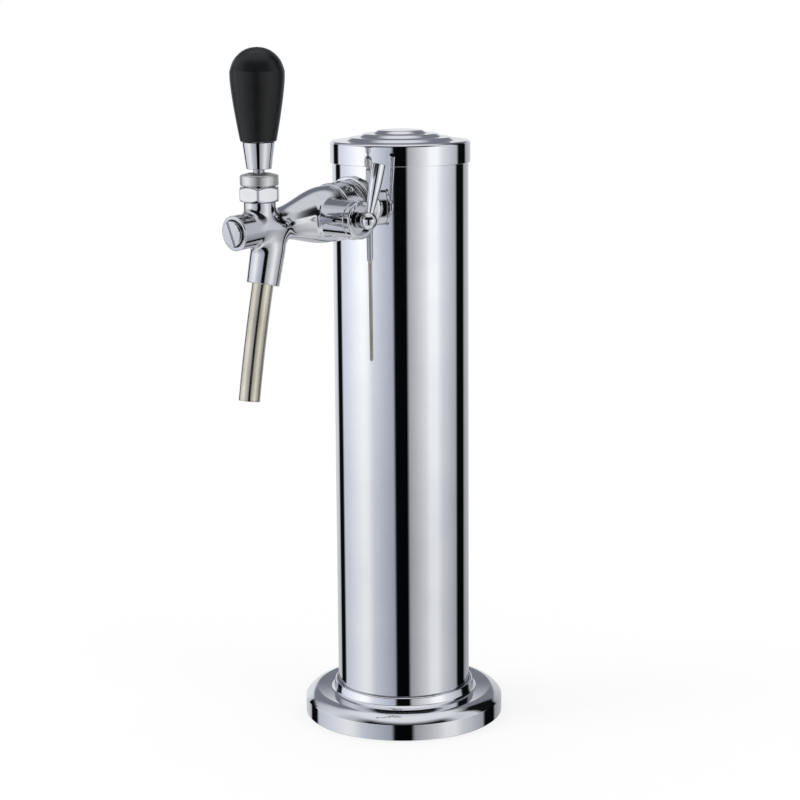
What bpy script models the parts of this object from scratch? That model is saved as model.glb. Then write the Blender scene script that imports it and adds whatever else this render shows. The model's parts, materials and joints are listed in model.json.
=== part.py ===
"""Single-tap beer tower: a slip-cap column on a domed flange, with a flow-control tap.

Lengths are metres, +Z is up and the tap points towards -Y. The origin is the middle of the
whole tower's footprint on the counter, so the column's axis stands a little behind it.
Pieces are turned about the local Z of a few empties: the tower's own axis, the tap's axis
(local Z forward, local Y up), the handle, the spout, the flow lever's shaft and the lever.
"""

import math

import bmesh
import bpy
from mathutils import Vector

# Fits shared by all pieces
CLEARANCE = 0.0003
OVERRUN = 0.0010
SEAM_WELD = 0.00005
MERGE_DISTANCE = 0.000001

# Facets round a full turn, and steps along a quarter of a rounded edge
COLUMN_SEGMENTS = 40
HIDDEN_SEGMENTS = 24
BODY_SEGMENTS = 24
FITTING_SEGMENTS = 18
BRANCH_SEGMENTS = 20
SCREW_SEGMENTS = 10
ROUND_STEPS = 3
HEX_SIDES = 6
SHARP_ANGLE = math.radians(35)

# Column tube
COLUMN_RADIUS = 0.0380
COLUMN_WALL = 0.0015
COLUMN_HEADROOM = 0.0305

# Domed base flange and its collar
FLANGE_OVERHANG = 0.0190
FLANGE_WALL_HEIGHT = 0.0095
FLANGE_CREST_SETBACK = 0.0070
FLANGE_CREST_HEIGHT = 0.0145
FLANGE_SHELL = 0.0020
COLLAR_FOOT_SPREAD = 0.0038
COLLAR_FOOT_HEIGHT = 0.0140
COLLAR_WAIST_SPREAD = 0.0027
COLLAR_WAIST_HEIGHT = 0.0152
COLLAR_RIM_SPREAD = 0.0018
COLLAR_HEIGHT = 0.0195
COLLAR_ROUND = 0.0008

# Hidden mounting plate, its spigot inside the column, and the gasket under it
GASKET_THICKNESS = 0.0012
GASKET_WIDTH = 0.0220
PLATE_GAP = 0.0030
PLATE_THICKNESS = 0.0045
LINE_HOLE_RADIUS = 0.0240
SPIGOT_WALL = 0.0050
SPIGOT_HEIGHT = 0.0120
COUNTER_HOLE_RADIUS = 0.0029
COUNTER_HOLE_SETBACK = 0.0070
COUNTER_HOLES = 4

# Screws through the column into the spigot, hidden under the dome
SPIGOT_SCREWS = 4
SPIGOT_SCREW_RADIUS = 0.0018
SPIGOT_SCREW_LENGTH = 0.0050
SPIGOT_SCREW_HEIGHT = 0.0029
SPIGOT_HEAD_RADIUS = 0.0026
SPIGOT_HEAD_HEIGHT = 0.0016

# Foam sleeve round the beer line
SLEEVE_BORE = 0.0140
SLEEVE_TOP_DROP = 0.0390

# Slip-over cap with three pressed steps, and its grip ring
CAP_SKIRT = 0.0120
CAP_SIDE_SHEET = 0.0008
CAP_TOP_SHEET = 0.0012
CAP_EDGE_ROUND = 0.0008
CAP_STEP_SETBACKS = (0.0081, 0.0155, 0.0237)
CAP_STEP_HEIGHT = 0.0019
CAP_SPIGOT_SETBACK = 0.0023
CAP_SPIGOT_WALL = 0.0015
CAP_SPIGOT_DEPTH = 0.0080
GRIP_RING_WIDTH = 0.0040
GRIP_RING_DROP = 0.0025

# Tap axis: it leaves the column's axis at this height and falls towards the front
TAP_HEIGHT = 0.2990
TAP_TILT = math.radians(4.5)

# Shank through the column wall, with its saddles and nut. Places are along the tap's axis.
SHANK_RADIUS = 0.0110
SHANK_BORE = 0.0050
SHANK_INSIDE_LENGTH = 0.0230
SHANK_THREAD_RADIUS = 0.0130
SHANK_THREAD_LENGTH = 0.0060
SHANK_COLLAR_RADIUS = 0.0150
SHANK_COLLAR_STAND = 0.0026
SHANK_COLLAR_THICKNESS = 0.0017
SADDLE_RADIUS = 0.0175
SADDLE_EDGE_ROUND = 0.0008
INNER_SADDLE_RADIUS = 0.0160
INNER_SADDLE_DEPTH = 0.0080
SHANK_NUT_ACROSS_FLATS = 0.0280
SHANK_NUT_THICKNESS = 0.0070
HEX_CHAMFER = 0.0007
HEX_CORNER_ROUND = 0.0003

# Hose tail elbow and its nut on the shank's rear end
TAIL_SEAL_THICKNESS = 0.0010
TAIL_FLANGE_RADIUS = 0.0100
TAIL_FLANGE_THICKNESS = 0.0020
TAIL_RADIUS = 0.0045
TAIL_BORE = 0.0030
TAIL_BEND_BEHIND_SHANK = 0.0080
TAIL_BEND_RADIUS = 0.0080
TAIL_DROP = 0.0160
TAIL_BARBS = 3
TAIL_BARB_HEIGHT = 0.0008
TAIL_BARB_PITCH = 0.0035
TAIL_NUT_ACROSS_FLATS = 0.0250
TAIL_NUT_GRIP = 0.0050
TAIL_NUT_BEHIND_SHANK = 0.0065
TAIL_NUT_LIP = 0.0020

# Coupling nut that clamps the tap to the shank
COUPLING_GAP = 0.0004
COUPLING_LENGTH = 0.0127
COUPLING_RADIUS = 0.0159
COUPLING_EDGE_ROUND = 0.0009
SPANNER_HOLES = 6
SPANNER_HOLE_RADIUS = 0.0020
SPANNER_HOLE_DEPTH = 0.0018
SPANNER_HOLE_AHEAD = 0.0061
SPANNER_HOLE_FIRST = math.radians(54)
COUPLING_SEAL_THICKNESS = 0.0013

# Tap body, turned about the tap's axis
TAIL_PIECE_RADIUS = 0.0117
TAIL_PIECE_FLANGE_THICKNESS = 0.0027
CONE_REAR_RADIUS = 0.0153
CONE_REAR_ROUND = 0.0012
CONE_FLAT_LENGTH = 0.0043
CONE_FRONT_SETBACK = 0.0130
BARREL_REAR_RADIUS = 0.0087
BARREL_FRONT_RADIUS = 0.0093
BARREL_NOSE = 0.0189
BARREL_EDGE_ROUND = 0.0006
CONE_SHARES = (0.0, 0.12, 0.27, 0.42, 0.57, 0.72, 0.86, 1.0)

# Hollows of the tap body, from the rear forward
CAVITY_REAR_RADIUS = 0.0100
CAVITY_FRONT_RADIUS = 0.0076
CAVITY_AHEAD = 0.0075
SEAL_CHAMBER_RADIUS = 0.0073
SEAL_CHAMBER_LENGTH = 0.0130
SEAT_THICKNESS = 0.0025
SEAT_HOLE_RADIUS = 0.0042
SHUTTLE_BORE = 0.0063
COUNTERBORE_DEPTH = 0.0026

# Slotted front plug
PLUG_HEAD_RADIUS = 0.0076
PLUG_STAND = 0.0020
PLUG_EDGE_ROUND = 0.0006
PLUG_REAR_AHEAD = 0.0125
PLUG_SLOT_WIDTH = 0.0014
PLUG_SLOT_DEPTH = 0.0012
PLUG_SLOT_TURN = math.radians(20)
PLUG_SEAL_THICKNESS = 0.0008

# Shuttle inside the tap body, moved by the handle's tail
SHUTTLE_LAND_AHEAD = 0.0110
SHUTTLE_LAND_LENGTH = 0.0065
SHUTTLE_WAIST_RADIUS = 0.0046
SHUTTLE_WAIST_BEHIND = 0.0042
SHUTTLE_STEM_RADIUS = 0.0032
SHUTTLE_TIP_RADIUS = 0.0020
SHUTTLE_TIP_BEHIND_SEAT = 0.0055
SHUTTLE_TRAVEL = 0.0069
SLOT_LEAN_ALLOWANCE = 0.0009
SEAT_SEAL_RADIUS = 0.0058
SEAT_SEAL_THICKNESS = 0.0025
SEAL_NUT_RADIUS = 0.0041
SEAL_NUT_THICKNESS = 0.0024

# Handle: nipple, ball joint, bonnet nut and friction collar. Heights are above the tap's axis.
HANDLE_AHEAD_OF_SEAT = 0.0175
NIPPLE_RADIUS = 0.0084
NIPPLE_BORE = 0.0068
NIPPLE_SHOULDER = 0.0138
NIPPLE_THREAD_RADIUS = 0.0079
NIPPLE_TOP = 0.0185
PIVOT_HEIGHT = 0.0218
BALL_RADIUS = 0.0056
LEVER_NECK_RADIUS = 0.0030
LEVER_NECK_TOP = 0.0185
TAIL_ROD_RADIUS = 0.0018
TAIL_BALL_RADIUS = 0.0025
TAIL_SLOT_HEIGHT = 0.0080
TAIL_SWING = 0.0072
LOWER_SEAT_DEPTH = 0.0063
LOWER_SEAT_OPENING = 0.0046
LOWER_SEAT_TOP_DROP = 0.0013
BONNET_ACROSS_FLATS = 0.0203
BONNET_BOTTOM = 0.0141
BONNET_TOP = 0.0217
BONNET_NECK_RADIUS = 0.0083
BONNET_NECK_BORE = 0.0073
BONNET_NECK_TOP = 0.0258
BONNET_CHAMFER = 0.0013
BONNET_CORNER_TURN = math.radians(44)
FRICTION_RING_RISE = 0.0015
FRICTION_RING_THICKNESS = 0.0015
COLLAR_NUT_RADIUS = 0.01015
COLLAR_NUT_BOTTOM = 0.0223
COLLAR_NUT_RIM = 0.0277
COLLAR_NUT_TOP = 0.0288
COLLAR_NUT_OPENING = 0.0060
COLLAR_NUT_ROUND = 0.0008

# Ferrule and drop-shaped knob. Heights are above the handle's pivot.
FERRULE_BOTTOM = 0.0091
FERRULE_BOTTOM_RADIUS = 0.00665
FERRULE_TOP = 0.0230
FERRULE_TOP_RADIUS = 0.0086
FERRULE_SPIGOT_RADIUS = 0.0045
FERRULE_SPIGOT_TOP = 0.0350
KNOB_BOTTOM_RADIUS = 0.0095
KNOB_RADIUS = 0.01435
KNOB_WIDEST = 0.0575
KNOB_RISE_SHARES = (0.0, 0.04, 0.3, 0.6, 0.85, 1.0)
KNOB_SWELL_SHARES = (0.0, 0.06, 0.38, 0.72, 0.94, 1.0)
KNOB_DOME_STEPS = 7

# Spout socket under the tap body, and the bent spout tube
SPOUT_BEHIND_HANDLE = 0.0080
SPOUT_TILT = math.radians(12.6)
SOCKET_ROOT = 0.0010
SOCKET_ROOT_RADIUS = 0.0086
SOCKET_WAIST_RADIUS = 0.0093
SOCKET_WAIST = 0.0110
SOCKET_LENGTH = 0.0313
SOCKET_END_RADIUS = 0.00875
SOCKET_EDGE_ROUND = 0.0005
PORT_RADIUS = 0.0046
SPOUT_RADIUS = 0.0057
SPOUT_BORE = 0.0047
SPOUT_SEAT = 0.0135
SPOUT_EXPOSED = 0.0620
SPOUT_TIP_TILT = math.radians(8.4)
SPOUT_BEND_STEPS = 7
SPOUT_SEAL_PLACE = 0.0240
SPOUT_SEAL_WIDTH = 0.0018
SPOUT_SEAL_DEPTH = 0.0012

# Flow-control side: boss, shaft, gland nut, ball hub and pin lever. Places are along +X.
FLOW_AHEAD_OF_CONE = 0.0098
BOSS_RADIUS = 0.0098
BOSS_END = 0.0307
BOSS_BORE = 0.0063
BOSS_BORE_START = 0.0230
SHAFT_RADIUS = 0.0030
SHAFT_INNER = 0.0084
SHAFT_OUTER = 0.0368
CRANK_RADIUS = 0.0020
CRANK_PIN_RADIUS = 0.0010
CRANK_PIN_INNER = 0.0050
FLOW_SEAL_THICKNESS = 0.0022
GLAND_RADIUS = 0.0102
GLAND_END = 0.0350
GLAND_EDGE_ROUND = 0.0005
GLAND_RECESS_RADIUS = 0.0078
GLAND_RECESS_DEPTH = 0.0024
GLAND_SPIGOT_RADIUS = 0.0060
GLAND_SPIGOT_START = 0.0263
HUB_PLACE = 0.0400
HUB_RADIUS = 0.0047
HUB_NECK_RADIUS = 0.0042
HUB_NECK_START = 0.0333
LEVER_LEAN = math.radians(15)
LEVER_FOOT = 0.0015
LEVER_LENGTH = 0.0303
LEVER_FOOT_RADIUS = 0.0019
LEVER_TIP_RADIUS = 0.00385
LEVER_TIP_ROUND = 0.0004
LEVER_FLARE_SHARES = ((0.0, 0.0), (0.45, 0.12), (0.75, 0.62), (0.9, 0.93))

# Flow-control cone, and the locking pin in the body's side
FLOW_CONE_REAR_SETBACK = 0.0034
FLOW_CONE_TRAVEL = 0.0019
FLOW_CONE_END_GAP = 0.0009
FLOW_CONE_GAP = 0.0009
FLOW_CONE_NOSE = 0.0030
FLOW_CONE_NOSE_RADIUS = 0.0035
CRANK_SLOT_LOW = 0.0001
CRANK_SLOT_HIGH = 0.0034
PIN_BEHIND_HANDLE = 0.0100
PIN_RADIUS = 0.0008
PIN_LENGTH = 0.0012
PIN_TURN = math.radians(2)

# Places worked out from the sizes above
COLUMN_INSIDE = COLUMN_RADIUS - COLUMN_WALL
FLANGE_RADIUS = COLUMN_RADIUS + FLANGE_OVERHANG
COLLAR_FOOT_RADIUS = COLUMN_RADIUS + COLLAR_FOOT_SPREAD
COLLAR_WAIST_RADIUS = COLUMN_RADIUS + COLLAR_WAIST_SPREAD
COLLAR_RIM_RADIUS = COLUMN_RADIUS + COLLAR_RIM_SPREAD
SHANK_REAR = COLUMN_RADIUS - SHANK_INSIDE_LENGTH
SHANK_COLLAR_REAR = COLUMN_RADIUS + SHANK_COLLAR_STAND
SHANK_COLLAR_FRONT = SHANK_COLLAR_REAR + SHANK_COLLAR_THICKNESS
SHANK_FRONT = SHANK_COLLAR_FRONT + SHANK_THREAD_LENGTH
INNER_SADDLE_REAR = COLUMN_RADIUS - INNER_SADDLE_DEPTH
TAIL_BEND_START = SHANK_REAR - TAIL_BEND_BEHIND_SHANK
TAIL_NUT_FRONT = SHANK_REAR + TAIL_NUT_GRIP
TAIL_NUT_REAR = SHANK_REAR - TAIL_NUT_BEHIND_SHANK
COUPLING_REAR = SHANK_COLLAR_FRONT + COUPLING_GAP
COUPLING_FRONT = COUPLING_REAR + COUPLING_LENGTH
SPANNER_HOLE_PLACE = COUPLING_REAR + SPANNER_HOLE_AHEAD
FLOW_CONE_REAR = COUPLING_FRONT - FLOW_CONE_REAR_SETBACK
CAP_SPIGOT_RADIUS = COLUMN_INSIDE - CAP_SPIGOT_SETBACK
FLANGE_CREST_RADIUS = FLANGE_RADIUS - FLANGE_CREST_SETBACK
PLATE_RADIUS = FLANGE_RADIUS - FLANGE_SHELL - PLATE_GAP
GASKET_BORE = PLATE_RADIUS - GASKET_WIDTH
COUNTER_HOLE_CIRCLE = PLATE_RADIUS - COUNTER_HOLE_SETBACK
COLUMN_TOP = TAP_HEIGHT + COLUMN_HEADROOM
SLEEVE_TOP = TAP_HEIGHT - SLEEVE_TOP_DROP
CONE_REAR = COUPLING_FRONT + CLEARANCE
CONE_FLAT_FRONT = CONE_REAR + CONE_FLAT_LENGTH
FLOW_REACH = CONE_REAR + FLOW_AHEAD_OF_CONE
CAVITY_FRONT = FLOW_REACH + CAVITY_AHEAD
SEAT_REAR = CAVITY_FRONT + SEAL_CHAMBER_LENGTH
SEAT_FRONT = SEAT_REAR + SEAT_THICKNESS
HANDLE_REACH = SEAT_FRONT + HANDLE_AHEAD_OF_SEAT
CONE_FRONT = HANDLE_REACH - CONE_FRONT_SETBACK
BARREL_FRONT = HANDLE_REACH + BARREL_NOSE
PLUG_FACE = BARREL_FRONT + PLUG_STAND
PLUG_REAR = HANDLE_REACH + PLUG_REAR_AHEAD
SPOUT_REACH = HANDLE_REACH - SPOUT_BEHIND_HANDLE
PIN_PLACE = HANDLE_REACH - PIN_BEHIND_HANDLE
SHUTTLE_LAND_FRONT = HANDLE_REACH + SHUTTLE_LAND_AHEAD
SHUTTLE_LAND_REAR = SHUTTLE_LAND_FRONT - SHUTTLE_LAND_LENGTH
SHUTTLE_WAIST_REAR = HANDLE_REACH - SHUTTLE_WAIST_BEHIND
SHUTTLE_TIP_REAR = SEAT_REAR - SHUTTLE_TIP_BEHIND_SEAT
FLOW_CONE_FRONT = SHUTTLE_TIP_REAR - SHUTTLE_TRAVEL - FLOW_CONE_TRAVEL - FLOW_CONE_END_GAP
PLATE_BOTTOM = GASKET_THICKNESS + CLEARANCE
PLATE_TOP = PLATE_BOTTOM + PLATE_THICKNESS
COLUMN_FOOT = PLATE_TOP + CLEARANCE
SPIGOT_RADIUS = COLUMN_INSIDE - CLEARANCE
SPIGOT_TOP = PLATE_TOP + SPIGOT_HEIGHT
SCREW_HEIGHT = PLATE_TOP + SPIGOT_SCREW_HEIGHT
SLIDING_BORE = COLUMN_RADIUS + CLEARANCE
CAP_INSIDE = COLUMN_TOP + CLEARANCE
CAP_RADIUS = SLIDING_BORE + CAP_SIDE_SHEET
CAP_STEP_RADII = tuple(CAP_RADIUS - setback for setback in CAP_STEP_SETBACKS)
PLUG_REACH = PLUG_FACE * math.cos(TAP_TILT) + PLUG_HEAD_RADIUS * math.sin(TAP_TILT)
COLUMN_SETBACK = (PLUG_REACH - FLANGE_RADIUS) / 2
SADDLE_FRONT = SHANK_COLLAR_REAR - CLEARANCE
SHANK_NUT_FRONT = INNER_SADDLE_REAR - CLEARANCE
SHANK_NUT_REAR = SHANK_NUT_FRONT - SHANK_NUT_THICKNESS
TAIL_SEAL_FRONT = SHANK_REAR - CLEARANCE
TAIL_FLANGE_FRONT = TAIL_SEAL_FRONT - TAIL_SEAL_THICKNESS - CLEARANCE
TAIL_FLANGE_REAR = TAIL_FLANGE_FRONT - TAIL_FLANGE_THICKNESS
COUPLING_BORE = SHANK_THREAD_RADIUS + CLEARANCE
COUPLING_SEAL_REAR = SHANK_FRONT + CLEARANCE
TAIL_PIECE_REAR = COUPLING_SEAL_REAR + COUPLING_SEAL_THICKNESS + CLEARANCE
TAIL_PIECE_FLANGE_FRONT = TAIL_PIECE_REAR + TAIL_PIECE_FLANGE_THICKNESS
COUPLING_LIP_REAR = TAIL_PIECE_FLANGE_FRONT + CLEARANCE
COUNTERBORE_RADIUS = PLUG_HEAD_RADIUS + CLEARANCE
COUNTERBORE_REAR = BARREL_FRONT - COUNTERBORE_DEPTH
PLUG_SEAL_REAR = COUNTERBORE_REAR + CLEARANCE
PLUG_HEAD_REAR = PLUG_SEAL_REAR + PLUG_SEAL_THICKNESS + CLEARANCE
RUNNING_RADIUS = SHUTTLE_BORE - CLEARANCE
SEAT_SEAL_FRONT = SEAT_REAR - CLEARANCE
SEAT_SEAL_REAR = SEAT_SEAL_FRONT - SEAT_SEAL_THICKNESS
SEAL_NUT_FRONT = SEAT_SEAL_REAR - CLEARANCE
SEAL_NUT_REAR = SEAL_NUT_FRONT - SEAL_NUT_THICKNESS
HANDLE_AXIS_HEIGHT = TAP_HEIGHT - HANDLE_REACH * math.tan(TAP_TILT)
SPOUT_AXIS_HEIGHT = TAP_HEIGHT - SPOUT_REACH * math.tan(TAP_TILT)
FLOW_AXIS_HEIGHT = TAP_HEIGHT - FLOW_REACH * math.tan(TAP_TILT)
FLOW_PLACE = FLOW_REACH / math.cos(TAP_TILT)
HANDLE_PLACE = HANDLE_REACH / math.cos(TAP_TILT)
FLOW_CRANK_TURN = LEVER_LEAN

# Colours of the raw pieces
CHROME = ((0.78, 0.79, 0.81), 0.08, 1.0)
POLISHED_STEEL = ((0.70, 0.68, 0.63), 0.18, 1.0)
PLAIN_STEEL = ((0.55, 0.56, 0.57), 0.30, 1.0)
BRASS = ((0.72, 0.55, 0.27), 0.30, 1.0)
BLACK_PLASTIC = ((0.025, 0.026, 0.027), 0.35, 0.0)
WHITE_PLASTIC = ((0.80, 0.79, 0.75), 0.45, 0.0)
DARK_RUBBER = ((0.035, 0.035, 0.036), 0.70, 0.0)
PALE_FOAM = ((0.62, 0.61, 0.57), 0.90, 0.0)


def clear_scene():
    """Removes what the file holds, so that a second run starts from nothing."""
    for found in list(bpy.data.objects):
        bpy.data.objects.remove(found)


def material(name, finish):
    """A Principled material of one piece's colour, roughness and metallic value."""
    colour, roughness, metallic = finish
    made = bpy.data.materials.new(name)
    made.use_nodes = True
    shader = made.node_tree.nodes["Principled BSDF"]
    shader.inputs["Base Color"].default_value = (*colour, 1.0)
    shader.inputs["Roughness"].default_value = roughness
    shader.inputs["Metallic"].default_value = metallic
    return made


def empty(name, parent, place=(0, 0, 0), turn=(0, 0, 0)):
    """An axis that pieces are parented to."""
    made = bpy.data.objects.new(name, None)
    bpy.context.scene.collection.objects.link(made)
    made.parent = parent
    made.location = place
    made.rotation_euler = turn
    return made


def place_mesh(name, mesh_data, parent, finish=None):
    """Puts a finished bmesh into a named object on its axis, shaded smooth but for its edges."""
    bmesh.ops.remove_doubles(mesh_data, verts=mesh_data.verts, dist=MERGE_DISTANCE)
    bmesh.ops.recalc_face_normals(mesh_data, faces=mesh_data.faces)
    mesh = bpy.data.meshes.new(name)
    mesh_data.to_mesh(mesh)
    mesh_data.free()
    mesh.shade_smooth()
    mesh.set_sharp_from_angle(angle=SHARP_ANGLE)
    made = bpy.data.objects.new(name, mesh)
    bpy.context.scene.collection.objects.link(made)
    made.parent = parent
    if finish:
        mesh.materials.append(material(name, finish))
    return made


def turned(name, outline, parent, finish=None, segments=FITTING_SEGMENTS):
    """Spins an outline of (radius, height) points about local Z. One that starts and ends on
    the axis is left open there, and any other is closed into a ring."""
    shape = bmesh.new()
    points = [shape.verts.new((radius, 0, height)) for radius, height in outline]
    edges = [shape.edges.new(pair) for pair in zip(points, points[1:])]
    if outline[0][0] or outline[-1][0]:
        edges.append(shape.edges.new((points[-1], points[0])))
    bmesh.ops.spin(
        shape, geom=points + edges, cent=(0, 0, 0), axis=(0, 0, 1),
        angle=math.tau, steps=segments, use_merge=True,
    )
    return place_mesh(name, shape, parent, finish)


def prism(name, corners, low, high, parent, finish=None):
    """Extrudes a flat outline of (x, y) corners along local Z."""
    shape = bmesh.new()
    face = shape.faces.new([shape.verts.new((x, y, low)) for x, y in corners])
    grown = bmesh.ops.extrude_face_region(shape, geom=[face])["geom"]
    raised = [item for item in grown if isinstance(item, bmesh.types.BMVert)]
    bmesh.ops.translate(shape, verts=raised, vec=(0, 0, high - low))
    return place_mesh(name, shape, parent, finish)


def swept(name, stations, bore, parent, finish, segments=FITTING_SEGMENTS):
    """A tube through stations of (forward, height, turn from straight down, outer radius) in
    the tower's middle plane, with one bore all the way."""
    shape = bmesh.new()

    def ring(forward, height, turn, radius):
        across = Vector((0, -math.cos(turn), math.sin(turn)))
        centre = Vector((0, -forward, height))
        angles = [math.tau * step / segments for step in range(segments)]
        return [
            shape.verts.new(
                centre + Vector((radius * math.cos(a), 0, 0)) + across * radius * math.sin(a)
            )
            for a in angles
        ]

    outer = [ring(*station) for station in stations]
    inner = [ring(*station[:3], bore) for station in stations]
    loops = outer + inner[::-1]
    for first, second in zip(loops, loops[1:] + loops[:1]):
        for index in range(segments):
            following = (index + 1) % segments
            shape.faces.new((first[index], first[following], second[following], second[index]))
    return place_mesh(name, shape, parent, finish)


def shape_with(target, tool, operation):
    """Cuts, joins or trims a piece with a tool, which then shows only as wires."""
    modifier = target.modifiers.new(f"{operation.lower()}_{tool.name}", "BOOLEAN")
    modifier.operation = operation
    modifier.object = tool
    modifier.solver = "EXACT"
    tool.hide_render = True
    tool.display_type = "WIRE"


def cut(target, *tools):
    """Takes each tool's shape out of a piece."""
    for tool in tools:
        shape_with(target, tool, "DIFFERENCE")


def ring_outline(bore, radius, low, high):
    """The square outline of a plain ring or washer."""
    return [(bore, low), (radius, low), (radius, high), (bore, high)]


def rod_outline(radius, low, high):
    """The outline of a plain rod, open on its axis."""
    return [(0, low), (radius, low), (radius, high), (0, high)]


def arc(centre, radii, start, end, steps):
    """Points (radius, height) along an elliptic arc, both ends included."""
    angles = [math.radians(start + (end - start) * step / steps) for step in range(steps + 1)]
    return [
        (centre[0] + radii[0] * math.cos(a), centre[1] + radii[1] * math.sin(a)) for a in angles
    ]


def outer_round(radius, height, size, upper=True, steps=2):
    """A rounded outer corner whose sharp corner would be at (radius, height)."""
    middle = height - size if upper else height + size
    turn = (0, 90) if upper else (-90, 0)
    return arc((radius - size, middle), (size, size), *turn, steps)


def hex_nut(name, across_flats, bore_outline, low, high, chamfer, parent, finish):
    """A chamfered hexagonal nut: a turned blank, trimmed to its flats."""
    rim = hex_corner(across_flats) - HEX_CORNER_ROUND
    blank = [(rim - chamfer, low), (rim, low + chamfer), (rim, high - chamfer), (rim - chamfer, high)]
    nut = turned(name, blank + bore_outline, parent, finish)
    trim_to_hexagon(nut, across_flats, 0, low, high, parent)


def hex_corner(across_flats):
    """Distance from a hexagon's middle to its corners."""
    return across_flats / 2 / math.cos(math.pi / HEX_SIDES)


def trim_to_hexagon(blank, across_flats, first, low, high, parent):
    """Trims a turned blank to a hexagon whose first corner stands at the angle first."""
    corner = hex_corner(across_flats)
    turns = [first + math.tau * side / HEX_SIDES for side in range(HEX_SIDES)]
    corners = [(corner * math.sin(a), -corner * math.cos(a)) for a in turns]
    name = f"{blank.name}_flats"
    flats = prism(name, corners, low - OVERRUN, high + OVERRUN, parent)
    shape_with(blank, flats, "INTERSECT")


def base_assembly(tower):
    """Gasket, mounting plate with its spigot, spigot screws and the domed cover flange."""
    turned(
        "base_gasket",
        ring_outline(GASKET_BORE, PLATE_RADIUS, 0, GASKET_THICKNESS),
        tower, DARK_RUBBER, HIDDEN_SEGMENTS,
    )
    spigot_inside = SPIGOT_RADIUS - SPIGOT_WALL
    plate = turned(
        "mounting_plate",
        [
            (LINE_HOLE_RADIUS, PLATE_BOTTOM), (PLATE_RADIUS, PLATE_BOTTOM),
            (PLATE_RADIUS, PLATE_TOP), (SPIGOT_RADIUS, PLATE_TOP),
            (SPIGOT_RADIUS, SPIGOT_TOP), (spigot_inside, SPIGOT_TOP),
            (spigot_inside, PLATE_TOP), (LINE_HOLE_RADIUS, PLATE_TOP),
        ],
        tower, PLAIN_STEEL, HIDDEN_SEGMENTS,
    )
    for number in range(COUNTER_HOLES):
        angle = math.tau * (number + 0.5) / COUNTER_HOLES
        spot = (COUNTER_HOLE_CIRCLE * math.cos(angle), COUNTER_HOLE_CIRCLE * math.sin(angle), 0)
        drill = turned(
            f"counter_hole_{number + 1}",
            rod_outline(COUNTER_HOLE_RADIUS, PLATE_BOTTOM - OVERRUN, PLATE_TOP + OVERRUN),
            tower, None, SCREW_SEGMENTS,
        )
        drill.location = spot
        cut(plate, drill)
    spigot_drills = [
        spigot_screw(number, tower, plate, spigot_inside) for number in range(SPIGOT_SCREWS)
    ]
    turned("base_flange", flange_outline(), tower, CHROME, COLUMN_SEGMENTS)
    return spigot_drills


def spigot_screw(number, tower, plate, spigot_inside):
    """One radial screw through the column into the spigot. It returns the drill of its hole."""
    angle = math.tau * (number + 0.5) / SPIGOT_SCREWS
    axis = empty(
        f"spigot_screw_axis_{number + 1}", tower,
        (0, 0, SCREW_HEIGHT), (math.pi / 2, 0, angle),
    )
    head_low = COLUMN_RADIUS + CLEARANCE
    turned(
        f"spigot_screw_{number + 1}",
        [
            (0, head_low - SPIGOT_SCREW_LENGTH), (SPIGOT_SCREW_RADIUS, head_low - SPIGOT_SCREW_LENGTH),
            (SPIGOT_SCREW_RADIUS, head_low), (SPIGOT_HEAD_RADIUS, head_low),
            (SPIGOT_HEAD_RADIUS, head_low + SPIGOT_HEAD_HEIGHT), (0, head_low + SPIGOT_HEAD_HEIGHT),
        ],
        axis, PLAIN_STEEL, SCREW_SEGMENTS,
    )
    drill = turned(
        f"spigot_hole_{number + 1}",
        rod_outline(
            SPIGOT_SCREW_RADIUS + CLEARANCE, spigot_inside - OVERRUN, COLUMN_RADIUS + OVERRUN
        ),
        axis, None, SCREW_SEGMENTS,
    )
    cut(plate, drill)
    return drill


def flange_outline():
    """The domed cover: wall, rounded crest, shallow top, and the collar round the column."""
    crest_radii = (FLANGE_RADIUS - FLANGE_CREST_RADIUS, FLANGE_CREST_HEIGHT - FLANGE_WALL_HEIGHT)
    centre = (FLANGE_CREST_RADIUS, FLANGE_WALL_HEIGHT)
    inner_radii = (crest_radii[0] - FLANGE_SHELL, crest_radii[1] - FLANGE_SHELL)
    inner_top = COLLAR_FOOT_HEIGHT - FLANGE_SHELL
    outline = [(FLANGE_RADIUS - FLANGE_SHELL, 0), (FLANGE_RADIUS, 0)]
    outline += arc(centre, crest_radii, 0, 90, ROUND_STEPS + 1)
    outline += [(COLLAR_FOOT_RADIUS, COLLAR_FOOT_HEIGHT), (COLLAR_WAIST_RADIUS, COLLAR_WAIST_HEIGHT)]
    outline += outer_round(COLLAR_RIM_RADIUS, COLLAR_HEIGHT, COLLAR_ROUND)
    outline += [(SLIDING_BORE, COLLAR_HEIGHT), (SLIDING_BORE, inner_top)]
    outline += arc(centre, inner_radii, 90, 0, ROUND_STEPS)
    return outline


def column_assembly(tower, tap, spigot_drills):
    """Column tube with its holes, and the foam sleeve inside it."""
    column = turned(
        "column_tube",
        ring_outline(COLUMN_INSIDE, COLUMN_RADIUS, COLUMN_FOOT, COLUMN_TOP),
        tower, CHROME, COLUMN_SEGMENTS,
    )
    shank_drill = turned(
        "shank_hole",
        rod_outline(SHANK_RADIUS + CLEARANCE, SHANK_RADIUS, COLUMN_RADIUS + OVERRUN),
        tap,
    )
    cut(column, shank_drill, *spigot_drills)
    turned(
        "insulation_sleeve",
        ring_outline(SLEEVE_BORE, SPIGOT_RADIUS, SPIGOT_TOP + CLEARANCE, SLEEVE_TOP),
        tower, PALE_FOAM, HIDDEN_SEGMENTS,
    )


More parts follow.
